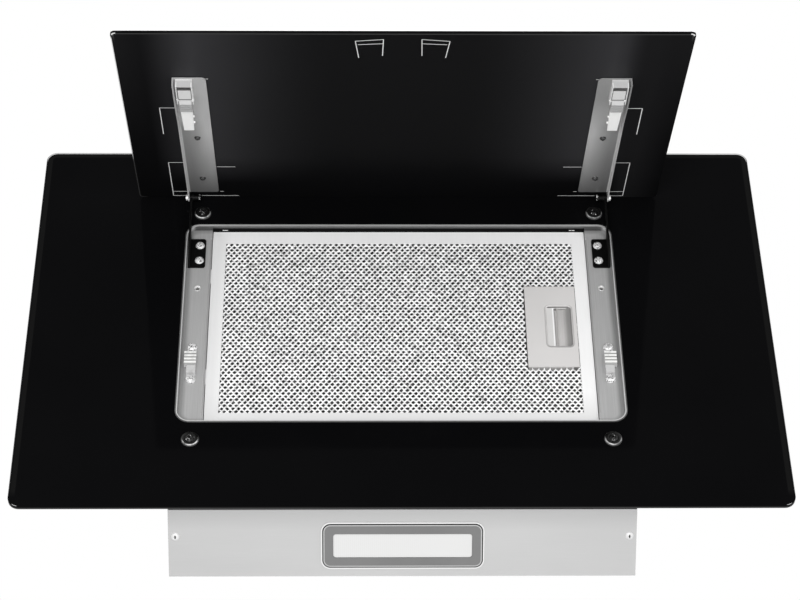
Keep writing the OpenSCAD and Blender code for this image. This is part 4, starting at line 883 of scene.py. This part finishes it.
FINISHES = {
    casing_steel: ["side_panel_left", "side_panel_right", "top_panel", "back_panel", "front_plate",
                   "lamp_housing", "motor_bracket"],
    bottom_sheet: ["bottom_plate"],
    main_glass_black: ["main_glass"],
    front_glass_black: ["front_glass"],
    tray_sheet: ["filter_tray"],
    bracket_steel: ["panel_bracket_left", "panel_bracket_right"],
    catch_steel: ["catch_housing_left", "catch_housing_right"],
    filter_frame_aluminium: ["filter_frame"],
    plate_screw_zinc: ["bottom_screws"],
    bright_zinc: ["tray_rivets", "motor_shaft", "flap_pins", "inner_screws", "catch_pins", "catch_springs"],
    cross_screw_zinc: ["hinge_arm_screws", "strike_screws"],
    hinge_pin_zinc: ["hinge_pins"],
    spring_steel: ["latch_spring"],
    glass_washer_black: ["glass_washers"],
    dark_screw_steel: ["glass_screws"],
    bracket_screw_steel: ["bracket_screws"],
    hinge_black_paint: ["hinge_arm_left", "hinge_arm_right", "hinge_washers"],
    rubber_pad: ["glass_pads"],
    bond_foam: ["bracket_pads"],
    strike_white: ["strike_left", "strike_right"],
    lever_white: ["catch_lever_left", "catch_lever_right"],
    latch_grey_plastic: ["latch_slider"],
    white_plastic: ["capacitor", "led_driver"],
    handle_grey_plastic: ["filter_handle"],
    bezel_grey_plastic: ["lamp_bezel"],
    lamp_diffuser_white: ["lamp_diffuser"],
    board_white: ["led_board"],
    board_green: ["touch_board"],
    black_plastic: ["terminal_box", "terminal_lid", "cable_gland", "blower_casing_left",
                    "blower_casing_right", "impeller", "outlet_collar", "flap_front", "flap_rear"],
    motor_paint: ["motor_body"],
    inner_aluminium: ["filter_core"],
    expanded_aluminium: ["filter_mesh"],
}


def dress_nodes():
    """Gives every node of the CAD its finish, and returns the material that each function made."""
    finished = {}
    for make, names in FINISHES.items():
        finished[make] = make()
        for name in names:
            slots = nodes[name].material_slots
            if not slots:
                nodes[name].data.materials.append(finished[make])
            for slot in slots:
                slot.material = finished[make]
    return finished


# Expanded metal of the filter
def over_handle(x, v):
    """True where the handle covers the mesh."""
    return (abs(x - HANDLE_X) < HANDLE_W / 2 - HANDLE_LIP
            and abs(v - HANDLE_V) < HANDLE_L / 2 - HANDLE_LIP)


def strand_corners(source, x, v, h, width, turned):
    """The four corners of a strand's section about x, v and h, turned about its run."""
    across = (width / 2 * math.cos(turned), width / 2 * math.sin(turned))
    through = (-STRAND_T / 2 * math.sin(turned), STRAND_T / 2 * math.cos(turned))
    corners = []
    for a, b in ((-1, -1), (1, -1), (1, 1), (-1, 1)):
        corner = on_slope(x, v + a * across[0] + b * through[0], h + a * across[1] + b * through[1])
        corners.append(source.verts.new(corner))
    return corners


def expanded_layer(source, level, pitch, width, lean, shift):
    """Zigzag strands, twisted between their knuckles, as in one sheet of expanded metal."""
    pitch_x, pitch_v = pitch
    half_x = WINDOW_W / 2 + MESH_UNDER_FRAME
    half_v = WINDOW_L / 2 + MESH_UNDER_FRAME
    columns = int(2 * half_x / (pitch_x / 2))
    rows = int(2 * half_v / pitch_v)
    chance = random.Random(rows)
    for row in range(rows + 1):
        v_row = -half_v + (row + shift) * pitch_v
        previous = None
        for i in range(2 * columns + 2):
            column, leaving = i // 2, i % 2
            up = 1 if (column + row) % 2 else -1
            # A strand rises as it leaves a lower joint and as it reaches an upper one.
            rising = up == (-1 if leaving else 1)
            knuckle = KNUCKLE * pitch_x * (1 if leaving else -1)
            x = -half_x + column * pitch_x / 2 + knuckle + chance.uniform(-UNEVEN_X, UNEVEN_X)
            twist = STRAND_TWIST if rising else -STRAND_TWIST
            turned = lean + twist + chance.uniform(-UNEVEN_TURN, UNEVEN_TURN)
            v = TRAY_V + v_row + up * (pitch_v / 2 - width * OVERLAP) + chance.uniform(-UNEVEN_V, UNEVEN_V)
            h = level + up * STRAND_RISE + chance.uniform(-UNEVEN_H, UNEVEN_H)
            if abs(v - TRAY_V) > half_v or over_handle(x, v):
                previous = None
                continue
            ring = strand_corners(source, x, v, h, width, turned)
            if previous:
                join_rings(source, previous, ring)
            previous = ring


def filter_mesh(material):
    """The front layer of the grease filter."""
    source = bmesh.new()
    expanded_layer(source, level=-10.9, pitch=FINE_PITCH, width=2.4, lean=math.radians(16), shift=0.0)
    piece = finish_piece("filter_mesh_strands", source, material, "filter")
    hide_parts("filter_mesh")


def filter_core(material):
    """Two inner layers of expanded metal and the sheet behind them."""
    source = bmesh.new()
    expanded_layer(source, level=-12.1, pitch=FINE_PITCH, width=1.1, lean=math.radians(-35), shift=0.5)
    expanded_layer(source, level=-14.6, pitch=COARSE_PITCH, width=2.2, lean=math.radians(30), shift=0.1)
    outline = rounded_outline(WINDOW_W + 2 * SHEET_UNDER_FRAME, WINDOW_L + 2 * SHEET_UNDER_FRAME,
                              radius=3.0, steps=3)
    sheet_back, sheet_front = -16.8, -16.4
    loft(source, [[on_slope(x, TRAY_V + v, h) for x, v in outline] for h in (sheet_back, sheet_front)])
    piece = finish_piece("filter_core_layers", source, material, "filter")
    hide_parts("filter_core")


# Small pieces of the handle and the tray
def handle_cup(material):
    """The finger cup right of the latch, a thin trough along the handle."""
    thickness = 0.35
    half = RECESS_L / 2 - 0.3
    profile = [(-2.05, -10.9), (-1.35, -13.0), (0.35, -14.4), (2.95, -15.0), (5.75, -14.9),
               (8.15, -14.0), (9.55, -12.6), (10.05, -11.4), (11.35, -10.2), (13.45, -9.3)]
    section = profile + [(x, h + thickness) for x, h in reversed(profile)]
    source = bmesh.new()
    loft(source, [[on_slope(RECESS_X + x, HANDLE_V + v, h) for x, h in section] for v in (-half, half)])
    finish_piece("handle_cup", source, material, "filter")


def slot_black_strip(material):
    """A black strip behind the long slot in the upper wall of the tray."""
    play, low, high = 0.1, -15.8, -3.0
    near, far = UPPER_WALL_V + play, UPPER_WALL_V + TRAY_T - play
    half = WELL_X - play
    section = [(near, low), (far, low), (far, high), (UPPER_WALL_V + 0.35, high), (near, high - 0.4)]
    source = bmesh.new()
    loft(source, [[on_slope(x, v, h) for v, h in section] for x in (-half, half)])
    finish_piece("slot_black_strip", source, material, "hood")


def slot_clips(material):
    """Two small bent spring clips on the black strip, one towards each end."""
    clip_x, low, high, thickness = 193.5, -6.8, -5.8, 0.08
    bends = [(-3.2, 0.0), (-1.8, -0.16), (-0.4, 0.0), (0.8, -0.16), (2.0, 0.0), (3.0, -0.14)]
    strip = bends + [(x, v - thickness) for x, v in reversed(bends)]
    for name, side in (("left", -1), ("right", 1)):
        source = bmesh.new()
        outline = [(side * (clip_x + x), UPPER_WALL_V + v) for x, v in strip]
        loft(source, [[on_slope(x, v, h) for x, v in outline] for h in (low, high)])
        finish_piece("slot_clip_" + name, source, material, "hood")


# Print on the front panel
def line(source, start, end):
    """One printed line on the inner face of the front panel, between two (x, s) points."""
    sunk, proud = -0.01, 0.03
    start, end = Vector(start), Vector(end)
    way = end - start
    half = Vector((-way.y, way.x)).normalized() * LINE_W / 2
    corners = [start - half, end - half, end + half, start + half]
    loft(source, [[on_panel(p.x, p.y, b) for p in corners] for b in (sunk, proud)])


def alignment_lines(material):
    """The printed lines that show where the brackets and the middle mark go."""
    source = bmesh.new()
    for marks, side, middle in (
        (BRACKET_MARKS, -1, 0.0),
        (BRACKET_MARKS, 1, 0.0),
        (MIDDLE_MARKS, -1, 0.0),
        (MIDDLE_MARKS, 1, RIGHT_MIDDLE_SHIFT),
    ):
        for start, end in marks:
            line(source, (middle + side * start[0], start[1]), (middle + side * end[0], end[1]))
    finish_piece("alignment_lines", source, material, "front_panel")


# Stage, lamps and camera
def pale_world():
    """White where the camera, gloss or glass sees it, and a soft light of 0.7 elsewhere."""
    world = bpy.data.worlds.new("pale_world")
    bpy.context.scene.world = world
    world.use_nodes = True
    tree = world.node_tree
    tree.nodes.clear()
    path = put(tree, "LightPath").outputs
    seen = math_node(tree, "MAXIMUM", path["Is Camera Ray"], path["Is Glossy Ray"])
    seen = math_node(tree, "MAXIMUM", seen, path["Is Transmission Ray"])
    strength = remap(tree, seen, 0.0, 1.0, 0.7, 1.0)
    sky = put(tree, "Background", {"Color": (1, 1, 1, 1), "Strength": strength})
    put(tree, "OutputWorld", {0: sky.outputs[0]})


def pale_floor():
    """A wide pale floor well below the hood."""
    half, level, cells = 9.0, -3.2, 12
    source = bmesh.new()
    bmesh.ops.create_grid(source, x_segments=cells, y_segments=cells, size=half,
                          matrix=Matrix.Translation((0, 0, level)))
    mesh = bpy.data.meshes.new("pale_floor")
    source.to_mesh(mesh)
    source.free()
    made, tree, shader = new_material("pale_floor", roughness=0.9, specular=0.1)
    look = use_group(tree, TEXTURE, grain=60.0, smudge=2.0)
    feed(tree, shader, Base_Color=blend_colours(tree, look["Smudge"], tone(236), tone(242)))
    mesh.materials.append(made)
    floor = bpy.data.objects.new("pale_floor", mesh)
    bpy.context.scene.collection.objects.link(floor)


def soft_lamp(name, place, aim, size, power):
    """A square lamp at a place, turned to a point that it lights."""
    data = bpy.data.lights.new(name, "AREA")
    data.shape = "SQUARE"
    data.size = size
    data.energy = power
    made = bpy.data.objects.new(name, data)
    made.location = place
    made.rotation_euler = (Vector(aim) - Vector(place)).to_track_quat("-Z", "Y").to_euler()
    bpy.context.scene.collection.objects.link(made)


def photo_camera():
    """Below the hood and a little in front of it, looking steeply up."""
    place = (-0.04375, -0.8933, -2.4388)
    pitch, yaw, roll = (math.radians(a) for a in (75.023, 0.9824, -0.0088))
    forward = Vector((0, math.cos(pitch), math.sin(pitch)))
    up = Vector((0, -math.sin(pitch), math.cos(pitch)))
    right = Vector((1, 0, 0))
    forward, right = (forward * math.cos(yaw) + right * math.sin(yaw),
                      right * math.cos(yaw) - forward * math.sin(yaw))
    right, up = right * math.cos(roll) + up * math.sin(roll), up * math.cos(roll) - right * math.sin(roll)
    data = bpy.data.cameras.new("photo_camera")
    data.lens = 105.99
    data.sensor_width = 36.0
    data.clip_end = 60.0
    camera = bpy.data.objects.new("photo_camera", data)
    turn = Matrix((right, up, -forward)).transposed().to_4x4()
    camera.matrix_world = Matrix.Translation(place) @ turn
    bpy.context.scene.collection.objects.link(camera)
    bpy.context.scene.camera = camera


photo_camera()
pale_world()
pale_floor()
soft_lamp("key_below", (-0.4, -1.1, -2.35), (0, -0.25, 0), 1.0, 32)
soft_lamp("fill_below_right", (1.5, -1.2, -1.8), (0, -0.25, 0), 1.2, 10)
soft_lamp("fill_below_back", (0.1, 0.9, -2.4), (0, -0.35, 0), 1.2, 10)

finishes = dress_nodes()
filter_mesh(finishes[expanded_aluminium])
filter_core(finishes[inner_aluminium])
handle_cup(handle_cup_grey())
slot_black_strip(finishes[bond_foam])
slot_clips(finishes[cross_screw_zinc])
alignment_lines(printed_white())

bpy.context.scene.view_settings.view_transform = "Standard"
